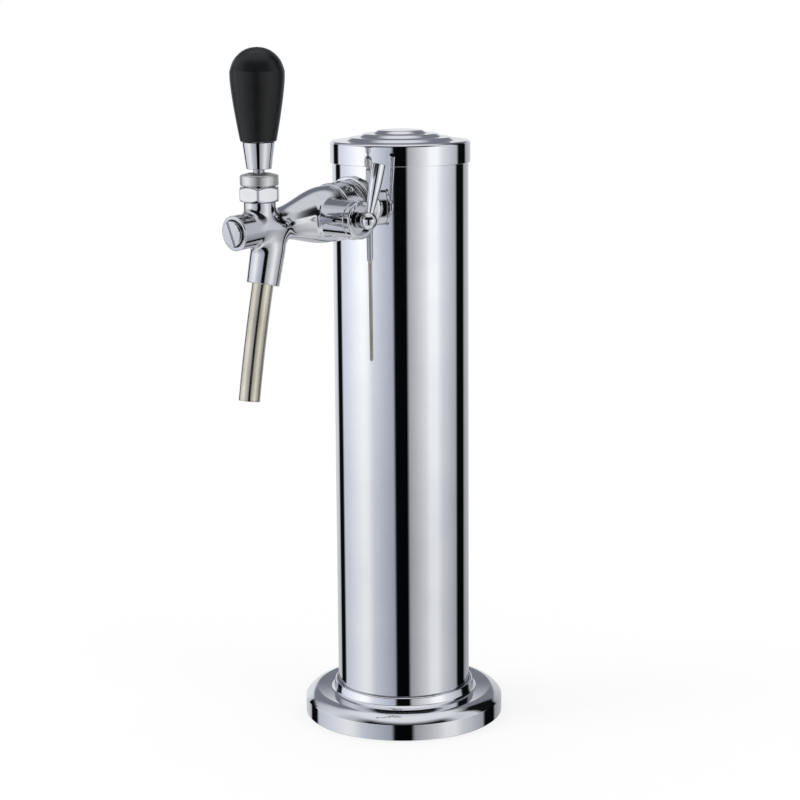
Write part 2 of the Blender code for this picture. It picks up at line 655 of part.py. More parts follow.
def cap_assembly(tower):
    """Pressed cap with three raised steps and a spigot, and the grip ring on the spigot."""
    cap_axis = empty("cap_axis", tower, (0, 0, CAP_INSIDE))
    top = CAP_TOP_SHEET
    spigot_bore = CAP_SPIGOT_RADIUS - CAP_SPIGOT_WALL
    outline = [(SLIDING_BORE, top - CAP_SKIRT), (CAP_RADIUS, top - CAP_SKIRT)]
    outline += outer_round(CAP_RADIUS, top, CAP_EDGE_ROUND)
    for radius in CAP_STEP_RADII:
        outline += [(radius, top), (radius - CAP_EDGE_ROUND, top + CAP_STEP_HEIGHT)]
        top += CAP_STEP_HEIGHT
    outline += [(0, top), (0, top - CAP_TOP_SHEET)]
    inside = top - CAP_TOP_SHEET
    for radius in reversed(CAP_STEP_RADII):
        inner = radius - CAP_EDGE_ROUND - CAP_TOP_SHEET
        outline += [(inner, inside), (inner, inside - CAP_STEP_HEIGHT)]
        inside -= CAP_STEP_HEIGHT
    outline += [(spigot_bore, inside), (spigot_bore, -CAP_SPIGOT_DEPTH)]
    outline += [(CAP_SPIGOT_RADIUS, -CAP_SPIGOT_DEPTH), (CAP_SPIGOT_RADIUS, 0), (SLIDING_BORE, 0)]
    turned_closed_top("top_cap", outline, cap_axis)
    ring_top = -GRIP_RING_DROP
    turned(
        "cap_grip_ring",
        ring_outline(
            CAP_SPIGOT_RADIUS + CLEARANCE, SPIGOT_RADIUS, ring_top - GRIP_RING_WIDTH, ring_top
        ),
        cap_axis, DARK_RUBBER, HIDDEN_SEGMENTS,
    )


def turned_closed_top(name, outline, axis):
    """Turns an outline that meets the axis between two of its points: it is started there."""
    split = next(index for index, point in enumerate(outline) if point[0] == 0)
    reordered = outline[split + 1:] + outline[:split + 1]
    turned(name, reordered, axis, CHROME, COLUMN_SEGMENTS)


def saddle(name, radius, low, high, tap, tower, finish, outside):
    """A washer with one face curved to the column's wall, outside or inside it."""
    edge = outer_round(radius, high, SADDLE_EDGE_ROUND) if outside else [(radius, high)]
    bore = SHANK_RADIUS + CLEARANCE
    washer = turned(name, [(bore, low), (radius, low), *edge, (bore, high)], tap, finish)
    wall = COLUMN_RADIUS + CLEARANCE if outside else COLUMN_INSIDE - CLEARANCE
    reach = radius + OVERRUN
    former = turned(
        f"{name}_wall",
        rod_outline(wall, TAP_HEIGHT - 2 * reach, TAP_HEIGHT + reach),
        tower, None, COLUMN_SEGMENTS,
    )
    shape_with(washer, former, "DIFFERENCE" if outside else "INTERSECT")


def shank_assembly(tap, tower):
    """Shank, both saddles, its nut, the coupling nut and seal, and the hose tail with its nut."""
    turned(
        "shank",
        [
            (SHANK_BORE, SHANK_REAR), (SHANK_RADIUS, SHANK_REAR),
            (SHANK_RADIUS, SHANK_COLLAR_REAR), (SHANK_COLLAR_RADIUS, SHANK_COLLAR_REAR),
            (SHANK_COLLAR_RADIUS, SHANK_COLLAR_FRONT), (SHANK_THREAD_RADIUS, SHANK_COLLAR_FRONT),
            (SHANK_THREAD_RADIUS, SHANK_FRONT), (SHANK_BORE, SHANK_FRONT),
        ],
        tap, CHROME,
    )
    saddle_rear = COLUMN_RADIUS - COLUMN_WALL * 4
    saddle("saddle_washer", SADDLE_RADIUS, saddle_rear, SADDLE_FRONT, tap, tower, CHROME, True)
    saddle(
        "inner_saddle", INNER_SADDLE_RADIUS, INNER_SADDLE_REAR, COLUMN_RADIUS, tap, tower,
        PLAIN_STEEL, False,
    )
    bore = SHANK_RADIUS + CLEARANCE
    hex_nut(
        "shank_nut", SHANK_NUT_ACROSS_FLATS, [(bore, SHANK_NUT_FRONT), (bore, SHANK_NUT_REAR)],
        SHANK_NUT_REAR, SHANK_NUT_FRONT, HEX_CHAMFER, tap, BRASS,
    )
    turned(
        "tail_seal",
        ring_outline(
            SHANK_BORE, TAIL_FLANGE_RADIUS, TAIL_SEAL_FRONT - TAIL_SEAL_THICKNESS, TAIL_SEAL_FRONT
        ),
        tap, DARK_RUBBER,
    )
    lip_bore = TAIL_RADIUS + CLEARANCE
    lip_front = TAIL_NUT_REAR + TAIL_NUT_LIP
    hex_nut(
        "tail_nut", TAIL_NUT_ACROSS_FLATS,
        [(bore, TAIL_NUT_FRONT), (bore, lip_front), (lip_bore, lip_front), (lip_bore, TAIL_NUT_REAR)],
        TAIL_NUT_REAR, TAIL_NUT_FRONT, HEX_CHAMFER, tap, BRASS,
    )
    hose_tail(tap)
    coupling(tap)


def hose_tail(tap):
    """Flanged elbow that turns the beer line down into the column, with hose barbs."""
    tail_axis = empty("hose_tail_axis", tap, (0, 0, 0), (-math.pi / 2, 0, 0))
    flat = -math.pi / 2
    stations = [
        (TAIL_FLANGE_FRONT, 0, flat, TAIL_FLANGE_RADIUS),
        (TAIL_FLANGE_REAR, 0, flat, TAIL_FLANGE_RADIUS),
        (TAIL_FLANGE_REAR, 0, flat, TAIL_RADIUS),
    ]
    for step in range(ROUND_STEPS + 2):
        turn = flat * step / (ROUND_STEPS + 1)
        forward = TAIL_BEND_START + TAIL_BEND_RADIUS * math.sin(turn)
        height = -TAIL_BEND_RADIUS * (1 - math.cos(turn))
        stations.append((forward, height, flat - turn, TAIL_RADIUS))
    forward = TAIL_BEND_START - TAIL_BEND_RADIUS
    first_barb = -TAIL_BEND_RADIUS - TAIL_DROP + TAIL_BARBS * TAIL_BARB_PITCH
    for barb in range(TAIL_BARBS):
        top = first_barb - barb * TAIL_BARB_PITCH
        stations.append((forward, top, 0, TAIL_RADIUS))
        stations.append((forward, top, 0, TAIL_RADIUS + TAIL_BARB_HEIGHT))
        stations.append((forward, top - TAIL_BARB_PITCH, 0, TAIL_RADIUS))
    swept("hose_tail", stations, TAIL_BORE, tail_axis, POLISHED_STEEL, SCREW_SEGMENTS)


def coupling(tap):
    """Round coupling nut with spanner holes, and the seal that it squeezes."""
    lip_bore = TAIL_PIECE_RADIUS + CLEARANCE
    outline = [(COUPLING_BORE, COUPLING_REAR)]
    outline += outer_round(COUPLING_RADIUS, COUPLING_REAR, COUPLING_EDGE_ROUND, upper=False)
    outline += outer_round(COUPLING_RADIUS, COUPLING_FRONT, COUPLING_EDGE_ROUND)
    outline += [(lip_bore, COUPLING_FRONT), (lip_bore, COUPLING_LIP_REAR)]
    outline += [(COUPLING_BORE, COUPLING_LIP_REAR)]
    nut = turned("coupling_nut", outline, tap, CHROME, BODY_SEGMENTS)
    for number in range(SPANNER_HOLES):
        angle = SPANNER_HOLE_FIRST + math.tau * number / SPANNER_HOLES
        axis = empty(
            f"spanner_hole_axis_{number + 1}", tap,
            (0, 0, SPANNER_HOLE_PLACE), (0, math.pi / 2, angle),
        )
        drill = turned(
            f"spanner_hole_{number + 1}",
            rod_outline(
                SPANNER_HOLE_RADIUS, COUPLING_RADIUS - SPANNER_HOLE_DEPTH, COUPLING_RADIUS + OVERRUN
            ),
            axis, None, SCREW_SEGMENTS,
        )
        cut(nut, drill)
    turned(
        "coupling_seal",
        ring_outline(
            SHANK_BORE, SHANK_THREAD_RADIUS - CLEARANCE,
            COUPLING_SEAL_REAR, COUPLING_SEAL_REAR + COUPLING_SEAL_THICKNESS,
        ),
        tap, DARK_RUBBER,
    )


def body_outline():
    """The tap body from its clamped flange, over the flared cone, to the front rim."""
    outline = [(0, TAIL_PIECE_REAR), (SHANK_THREAD_RADIUS, TAIL_PIECE_REAR)]
    outline += [(SHANK_THREAD_RADIUS, TAIL_PIECE_FLANGE_FRONT)]
    outline += [(TAIL_PIECE_RADIUS, TAIL_PIECE_FLANGE_FRONT), (TAIL_PIECE_RADIUS, CONE_REAR)]
    outline += outer_round(CONE_REAR_RADIUS, CONE_REAR, CONE_REAR_ROUND, upper=False)
    drop = CONE_REAR_RADIUS - BARREL_REAR_RADIUS
    for share in CONE_SHARES:
        eased = share * share * (3 - 2 * share)
        place = CONE_FLAT_FRONT + (CONE_FRONT - CONE_FLAT_FRONT) * share
        outline.append((CONE_REAR_RADIUS - drop * eased, place))
    outline += outer_round(BARREL_FRONT_RADIUS, BARREL_FRONT, BARREL_EDGE_ROUND)
    outline += [(0, BARREL_FRONT)]
    return outline


def body_hollow_outline():
    """All the hollows along the tap's axis as one tool, from the rear to the front rim."""
    return [
        (0, TAIL_PIECE_REAR - OVERRUN), (CAVITY_REAR_RADIUS, TAIL_PIECE_REAR - OVERRUN),
        (CAVITY_REAR_RADIUS, TAIL_PIECE_REAR), (CAVITY_FRONT_RADIUS, CAVITY_FRONT),
        (SEAL_CHAMBER_RADIUS, CAVITY_FRONT), (SEAL_CHAMBER_RADIUS, SEAT_REAR),
        (SEAT_HOLE_RADIUS, SEAT_REAR), (SEAT_HOLE_RADIUS, SEAT_FRONT),
        (SHUTTLE_BORE, SEAT_FRONT), (SHUTTLE_BORE, COUNTERBORE_REAR),
        (COUNTERBORE_RADIUS, COUNTERBORE_REAR), (COUNTERBORE_RADIUS, BARREL_FRONT + OVERRUN),
        (0, BARREL_FRONT + OVERRUN),
    ]


def tap_body(tap, handle, spout, flow):
    """The cast body: barrel and cone, with nipple, spout socket and side boss joined on."""
    body = turned("tap_body", body_outline(), tap, CHROME, BODY_SEGMENTS)
    nipple = turned(
        "body_nipple",
        [
            (0, 0), (NIPPLE_RADIUS, 0), (NIPPLE_RADIUS, NIPPLE_SHOULDER),
            (NIPPLE_THREAD_RADIUS, NIPPLE_SHOULDER), (NIPPLE_THREAD_RADIUS, NIPPLE_TOP),
            (0, NIPPLE_TOP),
        ],
        handle, None, BRANCH_SEGMENTS,
    )
    socket = turned("body_socket", socket_outline(), spout, None, BRANCH_SEGMENTS)
    boss = turned("body_boss", rod_outline(BOSS_RADIUS, 0, BOSS_END), flow, None, BRANCH_SEGMENTS)
    for joined in (nipple, socket, boss):
        shape_with(body, joined, "UNION")
    hollow = turned("body_hollow", body_hollow_outline(), tap, None, BRANCH_SEGMENTS)
    nipple_bore = turned(
        "nipple_bore", rod_outline(NIPPLE_BORE, TAIL_SLOT_HEIGHT, NIPPLE_TOP + OVERRUN),
        handle, None, BRANCH_SEGMENTS,
    )
    side = TAIL_BALL_RADIUS + 2 * CLEARANCE
    tail_slot = prism(
        "tail_slot",
        [(-side, -side), (side, -side), (side, TAIL_SWING), (-side, TAIL_SWING)],
        0, TAIL_SLOT_HEIGHT + OVERRUN / 2, handle,
    )
    port = turned("spout_port", port_outline(), spout, None, BRANCH_SEGMENTS)
    boss_bore = turned(
        "boss_bore",
        [
            (0, 0), (SHAFT_RADIUS + CLEARANCE, 0), (SHAFT_RADIUS + CLEARANCE, BOSS_BORE_START),
            (BOSS_BORE, BOSS_BORE_START), (BOSS_BORE, BOSS_END + OVERRUN), (0, BOSS_END + OVERRUN),
        ],
        flow, None, BRANCH_SEGMENTS,
    )
    pin_axis = empty("body_pin_axis", tap, (0, 0, PIN_PLACE), (0, math.pi / 2, PIN_TURN))
    pin_drill = turned(
        "body_pin_hole",
        rod_outline(
            PIN_RADIUS + CLEARANCE, BARREL_REAR_RADIUS - PIN_LENGTH - CLEARANCE,
            BARREL_REAR_RADIUS + OVERRUN,
        ),
        pin_axis, None, SCREW_SEGMENTS,
    )
    cut(body, hollow, nipple_bore, tail_slot, port, boss_bore, pin_drill)
    seams = body.modifiers.new("close_seams", "WELD")
    seams.merge_threshold = SEAM_WELD
    turned(
        "body_pin",
        rod_outline(PIN_RADIUS, BARREL_REAR_RADIUS - PIN_LENGTH, BARREL_REAR_RADIUS - CLEARANCE),
        pin_axis, PLAIN_STEEL, SCREW_SEGMENTS,
    )


def socket_outline():
    """Outside of the spout socket, wider where it grows out of the body."""
    outline = [(0, SOCKET_ROOT), (SOCKET_ROOT_RADIUS, SOCKET_ROOT)]
    outline += [(SOCKET_WAIST_RADIUS, SOCKET_WAIST)]
    outline += outer_round(SOCKET_END_RADIUS, SOCKET_LENGTH, SOCKET_EDGE_ROUND)
    return outline + [(0, SOCKET_LENGTH)]


def port_outline():
    """Inside of the spout socket: beer port, tube seat and the seal's groove."""
    fit = SPOUT_RADIUS + CLEARANCE
    groove = fit + SPOUT_SEAL_DEPTH + CLEARANCE
    shoulder = SPOUT_SEAT - CLEARANCE
    groove_low = SPOUT_SEAL_PLACE - CLEARANCE
    groove_high = SPOUT_SEAL_PLACE + SPOUT_SEAL_WIDTH + CLEARANCE
    return [
        (0, 0), (PORT_RADIUS, 0), (PORT_RADIUS, shoulder), (fit, shoulder),
        (fit, groove_low), (groove, groove_low), (groove, groove_high), (fit, groove_high),
        (fit, SOCKET_LENGTH + OVERRUN), (0, SOCKET_LENGTH + OVERRUN),
    ]


def front_plug(tap):
    """Slotted plug that closes the barrel, and the seal under its head."""
    outline = [(0, PLUG_REAR), (RUNNING_RADIUS, PLUG_REAR), (RUNNING_RADIUS, PLUG_HEAD_REAR)]
    outline += [(PLUG_HEAD_RADIUS, PLUG_HEAD_REAR)]
    outline += outer_round(PLUG_HEAD_RADIUS, PLUG_FACE, PLUG_EDGE_ROUND) + [(0, PLUG_FACE)]
    plug = turned("front_plug", outline, tap, CHROME)
    slot_axis = empty("plug_slot_axis", tap, (0, 0, 0), (0, 0, PLUG_SLOT_TURN))
    half = PLUG_SLOT_WIDTH / 2
    end = PLUG_HEAD_RADIUS + OVERRUN
    slot = prism(
        "plug_slot", [(-half, -end), (half, -end), (half, end), (-half, end)],
        PLUG_FACE - PLUG_SLOT_DEPTH, PLUG_FACE + OVERRUN, slot_axis,
    )
    cut(plug, slot)
    turned(
        "plug_seal",
        ring_outline(
            SHUTTLE_BORE, PLUG_HEAD_RADIUS, PLUG_SEAL_REAR, PLUG_SEAL_REAR + PLUG_SEAL_THICKNESS
        ),
        tap, DARK_RUBBER,
    )


def shuttle_assembly(tap):
    """Shuttle that the handle's tail pushes back, with the seat seal and its nut."""
    shuttle = turned(
        "shuttle",
        [
            (0, SHUTTLE_TIP_REAR), (SHUTTLE_TIP_RADIUS, SHUTTLE_TIP_REAR),
            (SHUTTLE_TIP_RADIUS, SEAT_REAR), (SHUTTLE_STEM_RADIUS, SEAT_REAR),
            (SHUTTLE_STEM_RADIUS, SHUTTLE_WAIST_REAR), (SHUTTLE_WAIST_RADIUS, SHUTTLE_WAIST_REAR),
            (SHUTTLE_WAIST_RADIUS, SHUTTLE_LAND_REAR), (RUNNING_RADIUS, SHUTTLE_LAND_REAR),
            (RUNNING_RADIUS, SHUTTLE_LAND_FRONT), (0, SHUTTLE_LAND_FRONT),
        ],
        tap, BRASS,
    )
    side = TAIL_BALL_RADIUS + CLEARANCE
    slot_axis = empty(
        "shuttle_slot_axis", tap, (0, 0, HANDLE_PLACE), (0, math.pi / 2, 0)
    )
    front = -(side + SLOT_LEAN_ALLOWANCE)
    slot = prism(
        "shuttle_slot", [(side, -side), (side, BALL_RADIUS), (front, BALL_RADIUS), (-side, -side)],
        -side, side, slot_axis,
    )
    cut(shuttle, slot)
    fit = SHUTTLE_TIP_RADIUS + CLEARANCE
    turned(
        "seat_seal", ring_outline(fit, SEAT_SEAL_RADIUS, SEAT_SEAL_REAR, SEAT_SEAL_FRONT),
        tap, DARK_RUBBER,
    )
    turned(
        "seal_nut", ring_outline(fit, SEAL_NUT_RADIUS, SEAL_NUT_REAR, SEAL_NUT_FRONT),
        tap, BRASS,
    )


def ball_points(radius, start, end, steps):
    """Points round a ball at the origin, from one height to another."""
    first = math.degrees(math.asin(start / radius))
    last = math.degrees(math.asin(end / radius))
    return arc((0, 0), (radius, radius), first, last, steps)


def chord_height(radius, chord_radius):
    """How far from a ball's centre its section has the given radius."""
    return math.sqrt(radius * radius - chord_radius * chord_radius)


def handle_lever(pivot):
    """Neck, pivot ball and tail in one turned piece, about the handle's pivot."""
    tail_join = chord_height(TAIL_BALL_RADIUS, TAIL_ROD_RADIUS)
    tail = [
        (radius, height - PIVOT_HEIGHT)
        for radius, height in ball_points(TAIL_BALL_RADIUS, -TAIL_BALL_RADIUS, tail_join, ROUND_STEPS + 1)
    ]
    ball_low = -chord_height(BALL_RADIUS, TAIL_ROD_RADIUS)
    ball_high = chord_height(BALL_RADIUS, LEVER_NECK_RADIUS)
    outline = [(0, -PIVOT_HEIGHT - TAIL_BALL_RADIUS)] + tail[1:]
    outline += ball_points(BALL_RADIUS, ball_low, ball_high, 2 * ROUND_STEPS)
    outline += [(LEVER_NECK_RADIUS, LEVER_NECK_TOP), (0, LEVER_NECK_TOP)]
    turned("handle_lever", outline, pivot, PLAIN_STEEL)


def bonnet_assembly(handle):
    """Ball seat, hexagonal bonnet nut, friction ring and round friction collar."""
    socket_radius = BALL_RADIUS + CLEARANCE
    opening_drop = -chord_height(socket_radius, LOWER_SEAT_OPENING)
    seat = ball_points(socket_radius, opening_drop, -LOWER_SEAT_TOP_DROP, ROUND_STEPS)
    seat = [(radius, PIVOT_HEIGHT + height) for radius, height in seat]
    seat_top = PIVOT_HEIGHT - LOWER_SEAT_TOP_DROP
    flange_low = NIPPLE_TOP + CLEARANCE
    inside = NIPPLE_BORE - CLEARANCE
    bottom = PIVOT_HEIGHT - LOWER_SEAT_DEPTH
    turned(
        "ball_seat",
        [
            (LOWER_SEAT_OPENING, bottom), *seat, (NIPPLE_THREAD_RADIUS, seat_top),
            (NIPPLE_THREAD_RADIUS, flange_low), (inside, flange_low), (inside, bottom),
        ],
        handle, WHITE_PLASTIC,
    )
    bonnet_nut(handle, seat_top + CLEARANCE)
    ring_low = PIVOT_HEIGHT + FRICTION_RING_RISE
    ring_high = ring_low + FRICTION_RING_THICKNESS
    above = ball_points(
        socket_radius, FRICTION_RING_RISE, FRICTION_RING_RISE + FRICTION_RING_THICKNESS, 2
    )
    above = [(radius, PIVOT_HEIGHT + height) for radius, height in above]
    ring_radius = BONNET_NECK_BORE - CLEARANCE
    turned(
        "friction_ring", [*above, (ring_radius, ring_high), (ring_radius, ring_low)],
        handle, WHITE_PLASTIC,
    )
    thread = BONNET_NECK_RADIUS + CLEARANCE
    lip_low = ring_high + CLEARANCE
    neck_clear = BONNET_NECK_TOP + CLEARANCE
    outline = [(thread, COLLAR_NUT_BOTTOM)]
    outline += outer_round(COLLAR_NUT_RADIUS, COLLAR_NUT_BOTTOM, COLLAR_NUT_ROUND, upper=False)
    outline += outer_round(COLLAR_NUT_RADIUS, COLLAR_NUT_RIM, COLLAR_NUT_ROUND)
    outline += [(COLLAR_NUT_OPENING, COLLAR_NUT_TOP), (COLLAR_NUT_OPENING, lip_low)]
    outline += [(ring_radius, lip_low), (ring_radius, neck_clear), (thread, neck_clear)]
    turned("friction_collar", outline, handle, CHROME, BODY_SEGMENTS)


def bonnet_nut(handle, shoulder):
    """Chamfered hexagon on the nipple, with the round neck that carries the collar."""
    rim = hex_corner(BONNET_ACROSS_FLATS) - HEX_CORNER_ROUND
    thread = NIPPLE_THREAD_RADIUS + CLEARANCE
    blank = turned(
        "bonnet_nut",
        [
            (thread, BONNET_BOTTOM), (rim - BONNET_CHAMFER, BONNET_BOTTOM),
            (rim, BONNET_BOTTOM + BONNET_CHAMFER), (rim, BONNET_TOP - BONNET_CHAMFER),
            (rim - BONNET_CHAMFER, BONNET_TOP), (BONNET_NECK_RADIUS, BONNET_TOP),
            (BONNET_NECK_RADIUS, BONNET_NECK_TOP), (BONNET_NECK_BORE, BONNET_NECK_TOP),
            (BONNET_NECK_BORE, shoulder), (thread, shoulder),
        ],
        handle, CHROME,
    )
    trim_to_hexagon(
        blank, BONNET_ACROSS_FLATS, BONNET_CORNER_TURN, BONNET_BOTTOM, BONNET_NECK_TOP, handle
    )


def handle_grip(pivot):
    """Tapered chrome ferrule on the lever's neck, and the drop-shaped knob on its spigot."""
    bore = LEVER_NECK_RADIUS + CLEARANCE
    bore_top = LEVER_NECK_TOP + CLEARANCE
    turned(
        "handle_ferrule",
        [
            (0, bore_top), (bore, bore_top), (bore, FERRULE_BOTTOM),
            (FERRULE_BOTTOM_RADIUS, FERRULE_BOTTOM), (FERRULE_TOP_RADIUS, FERRULE_TOP),
            (FERRULE_SPIGOT_RADIUS, FERRULE_TOP), (FERRULE_SPIGOT_RADIUS, FERRULE_SPIGOT_TOP),
            (0, FERRULE_SPIGOT_TOP),
        ],
        pivot, CHROME,
    )
    socket = FERRULE_SPIGOT_RADIUS + CLEARANCE
    socket_top = FERRULE_SPIGOT_TOP + CLEARANCE
    bottom = FERRULE_TOP + CLEARANCE
    rise = KNOB_WIDEST - bottom
    swell = KNOB_RADIUS - KNOB_BOTTOM_RADIUS
    outline = [(0, socket_top), (socket, socket_top), (socket, bottom)]
    outline += [
        (KNOB_BOTTOM_RADIUS + swell * out, bottom + rise * up)
        for up, out in zip(KNOB_RISE_SHARES, KNOB_SWELL_SHARES)
    ]
    outline += arc((0, KNOB_WIDEST), (KNOB_RADIUS, KNOB_RADIUS), 0, 90, KNOB_DOME_STEPS)[1:-1]
    outline += [(0, KNOB_WIDEST + KNOB_RADIUS)]
    turned("handle_knob", outline, pivot, BLACK_PLASTIC, BODY_SEGMENTS)


def spout_tube(tower, spout):
    """Bent tube in the socket, and the seal in the socket's groove."""
    direction = (math.sin(SPOUT_TILT), -math.cos(SPOUT_TILT))

    def along(distance):
        return (
            SPOUT_REACH + direction[0] * distance,
            SPOUT_AXIS_HEIGHT + direction[1] * distance,
        )

    stations = [(*along(SPOUT_SEAT), SPOUT_TILT, SPOUT_RADIUS)]
    forward, height = along(SOCKET_LENGTH)
    stations.append((forward, height, SPOUT_TILT, SPOUT_RADIUS))
    stride = SPOUT_EXPOSED / SPOUT_BEND_STEPS
    for step in range(SPOUT_BEND_STEPS):
        share = (step + 0.5) / SPOUT_BEND_STEPS
        tilt = SPOUT_TILT + (SPOUT_TIP_TILT - SPOUT_TILT) * share
        forward += stride * math.sin(tilt)
        height -= stride * math.cos(tilt)
        end_tilt = SPOUT_TILT + (SPOUT_TIP_TILT - SPOUT_TILT) * (step + 1) / SPOUT_BEND_STEPS
        stations.append((forward, height, end_tilt, SPOUT_RADIUS))
    swept("spout_tube", stations, SPOUT_BORE, tower, POLISHED_STEEL)
    fit = SPOUT_RADIUS + CLEARANCE
    turned(
        "spout_seal",
        ring_outline(
            fit, fit + SPOUT_SEAL_DEPTH, SPOUT_SEAL_PLACE, SPOUT_SEAL_PLACE + SPOUT_SEAL_WIDTH
        ),
        spout, DARK_RUBBER,
    )


def flow_control(tap, flow):
    """Shaft with its crank pin, seal, gland nut, ball hub, pin lever and the flow cone."""
    crank = empty("flow_crank_axis", flow, (0, 0, 0), (0, 0, -FLOW_CRANK_TURN))
    shaft = turned("flow_shaft", rod_outline(SHAFT_RADIUS, SHAFT_INNER, SHAFT_OUTER), flow, PLAIN_STEEL)
    pin = turned(
        "crank_pin",
        rod_outline(CRANK_PIN_RADIUS, CRANK_PIN_INNER, SHAFT_INNER + OVERRUN),
        crank, None, SCREW_SEGMENTS,
    )
    pin.location = (0, CRANK_RADIUS, 0)
    shape_with(shaft, pin, "UNION")
    fit = SHAFT_RADIUS + CLEARANCE
    seal_start = BOSS_BORE_START + CLEARANCE
    turned(
        "flow_seal",
        ring_outline(fit, BOSS_BORE - CLEARANCE, seal_start, seal_start + FLOW_SEAL_THICKNESS),
        flow, DARK_RUBBER,
    )
    gland(flow, fit)
    hub_and_lever(flow)
    flow_cone(tap)


def gland(flow, fit):
    """Gland nut: a spigot in the boss, and a ring with a dark recess at its end."""
    ring_start = BOSS_END + CLEARANCE
    recess = GLAND_END - GLAND_RECESS_DEPTH
    outline = [(fit, GLAND_SPIGOT_START), (GLAND_SPIGOT_RADIUS, GLAND_SPIGOT_START)]
    outline += [(GLAND_SPIGOT_RADIUS, ring_start), (GLAND_RADIUS, ring_start)]
    outline += outer_round(GLAND_RADIUS, GLAND_END, GLAND_EDGE_ROUND)
    outline += [(GLAND_RECESS_RADIUS, GLAND_END), (GLAND_RECESS_RADIUS, recess), (fit, recess)]
    turned("gland_nut", outline, flow, CHROME, BODY_SEGMENTS)


def hub_and_lever(flow):
    """Ball hub on the shaft's end, and the pin lever that stands in it."""
    neck_join = -chord_height(HUB_RADIUS, HUB_NECK_RADIUS)
    fit = SHAFT_RADIUS + CLEARANCE
    ball = [
        (radius, HUB_PLACE + height)
        for radius, height in ball_points(HUB_RADIUS, neck_join, HUB_RADIUS, 2 * ROUND_STEPS)
    ]
    outline = [(0, SHAFT_OUTER + CLEARANCE), (fit, SHAFT_OUTER + CLEARANCE), (fit, HUB_NECK_START)]
    outline += [(HUB_NECK_RADIUS, HUB_NECK_START)] + ball[:-1] + [(0, HUB_PLACE + HUB_RADIUS)]
    hub = turned("flow_hub", outline, flow, CHROME)
    lever_axis = empty(
        "flow_lever_axis", flow, (0, 0, HUB_PLACE), (-math.pi / 2, 0, -LEVER_LEAN)
    )
    rise = LEVER_LENGTH - LEVER_FOOT
    flare = LEVER_TIP_RADIUS - LEVER_FOOT_RADIUS
    outline = [(0, LEVER_FOOT)]
    outline += [
        (LEVER_FOOT_RADIUS + flare * out, LEVER_FOOT + rise * up) for up, out in LEVER_FLARE_SHARES
    ]
    outline += outer_round(LEVER_TIP_RADIUS, LEVER_LENGTH, LEVER_TIP_ROUND) + [(0, LEVER_LENGTH)]
    turned("flow_lever", outline, lever_axis, CHROME)
    socket = turned(
        "lever_socket",
        rod_outline(LEVER_FOOT_RADIUS + CLEARANCE, LEVER_FOOT - CLEARANCE, HUB_RADIUS + OVERRUN),
        lever_axis, None, SCREW_SEGMENTS,
    )
    cut(hub, socket)


def flow_cone(tap):
    """Tapered plug that the crank pin slides to set the flow."""
    taper = (CAVITY_REAR_RADIUS - CAVITY_FRONT_RADIUS) / (CAVITY_FRONT - TAIL_PIECE_REAR)
    nose_start = FLOW_CONE_FRONT - FLOW_CONE_NOSE

    def radius_at(place):
        return CAVITY_REAR_RADIUS - taper * (place - TAIL_PIECE_REAR) - FLOW_CONE_GAP

    cone = turned(
        "flow_cone",
        [
            (0, FLOW_CONE_REAR), (radius_at(FLOW_CONE_REAR), FLOW_CONE_REAR),
            (radius_at(nose_start), nose_start), (FLOW_CONE_NOSE_RADIUS, FLOW_CONE_FRONT),
            (0, FLOW_CONE_FRONT),
        ],
        tap, WHITE_PLASTIC,
    )
    slot_axis = empty("crank_slot_axis", tap, (0, 0, FLOW_PLACE), (0, math.pi / 2, 0))
    half = CRANK_PIN_RADIUS + CLEARANCE
    shift = CRANK_RADIUS * math.sin(LEVER_LEAN + TAP_TILT)
    slot = prism(
        "crank_slot",
        [
            (shift - half, CRANK_SLOT_LOW), (shift + half, CRANK_SLOT_LOW),
            (shift + half, CRANK_SLOT_HIGH), (shift - half, CRANK_SLOT_HIGH),
        ],
        CRANK_PIN_INNER - CLEARANCE, CAVITY_REAR_RADIUS, slot_axis,
    )
    cut(cone, slot)


def build():
    """Builds the whole tower on its axes."""
    clear_scene()
    tower = empty("tower_axis", None, (0, COLUMN_SETBACK, 0))
    tap = empty("tap_axis", tower, (0, 0, TAP_HEIGHT), (math.pi / 2 + TAP_TILT, 0, 0))
    handle = empty("handle_axis", tower, (0, -HANDLE_REACH, HANDLE_AXIS_HEIGHT))
    pivot = empty("handle_pivot", handle, (0, 0, PIVOT_HEIGHT))
    spout = empty(
        "spout_axis", tower, (0, -SPOUT_REACH, SPOUT_AXIS_HEIGHT), (math.pi - SPOUT_TILT, 0, 0)
    )
    flow = empty(
        "flow_axis", tower, (0, -FLOW_REACH, FLOW_AXIS_HEIGHT), (math.pi / 2, 0, math.pi / 2)
    )
    spigot_drills = base_assembly(tower)
    column_assembly(tower, tap, spigot_drills)
    cap_assembly(tower)
    shank_assembly(tap, tower)
    tap_body(tap, handle, spout, flow)
    front_plug(tap)
    shuttle_assembly(tap)
    handle_lever(pivot)
    bonnet_assembly(handle)
    handle_grip(pivot)
    spout_tube(tower, spout)
    flow_control(tap, flow)


build()
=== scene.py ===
"""Looks for a chromed beer tower dispenser: smooth pieces, finishes, studio and camera."""

import json
import logging
import math
from collections.abc import Callable, Iterable, Sequence
from dataclasses import dataclass
from enum import Enum

import bmesh
import bpy
import numpy as np
from mathutils import Euler, Matrix, Vector


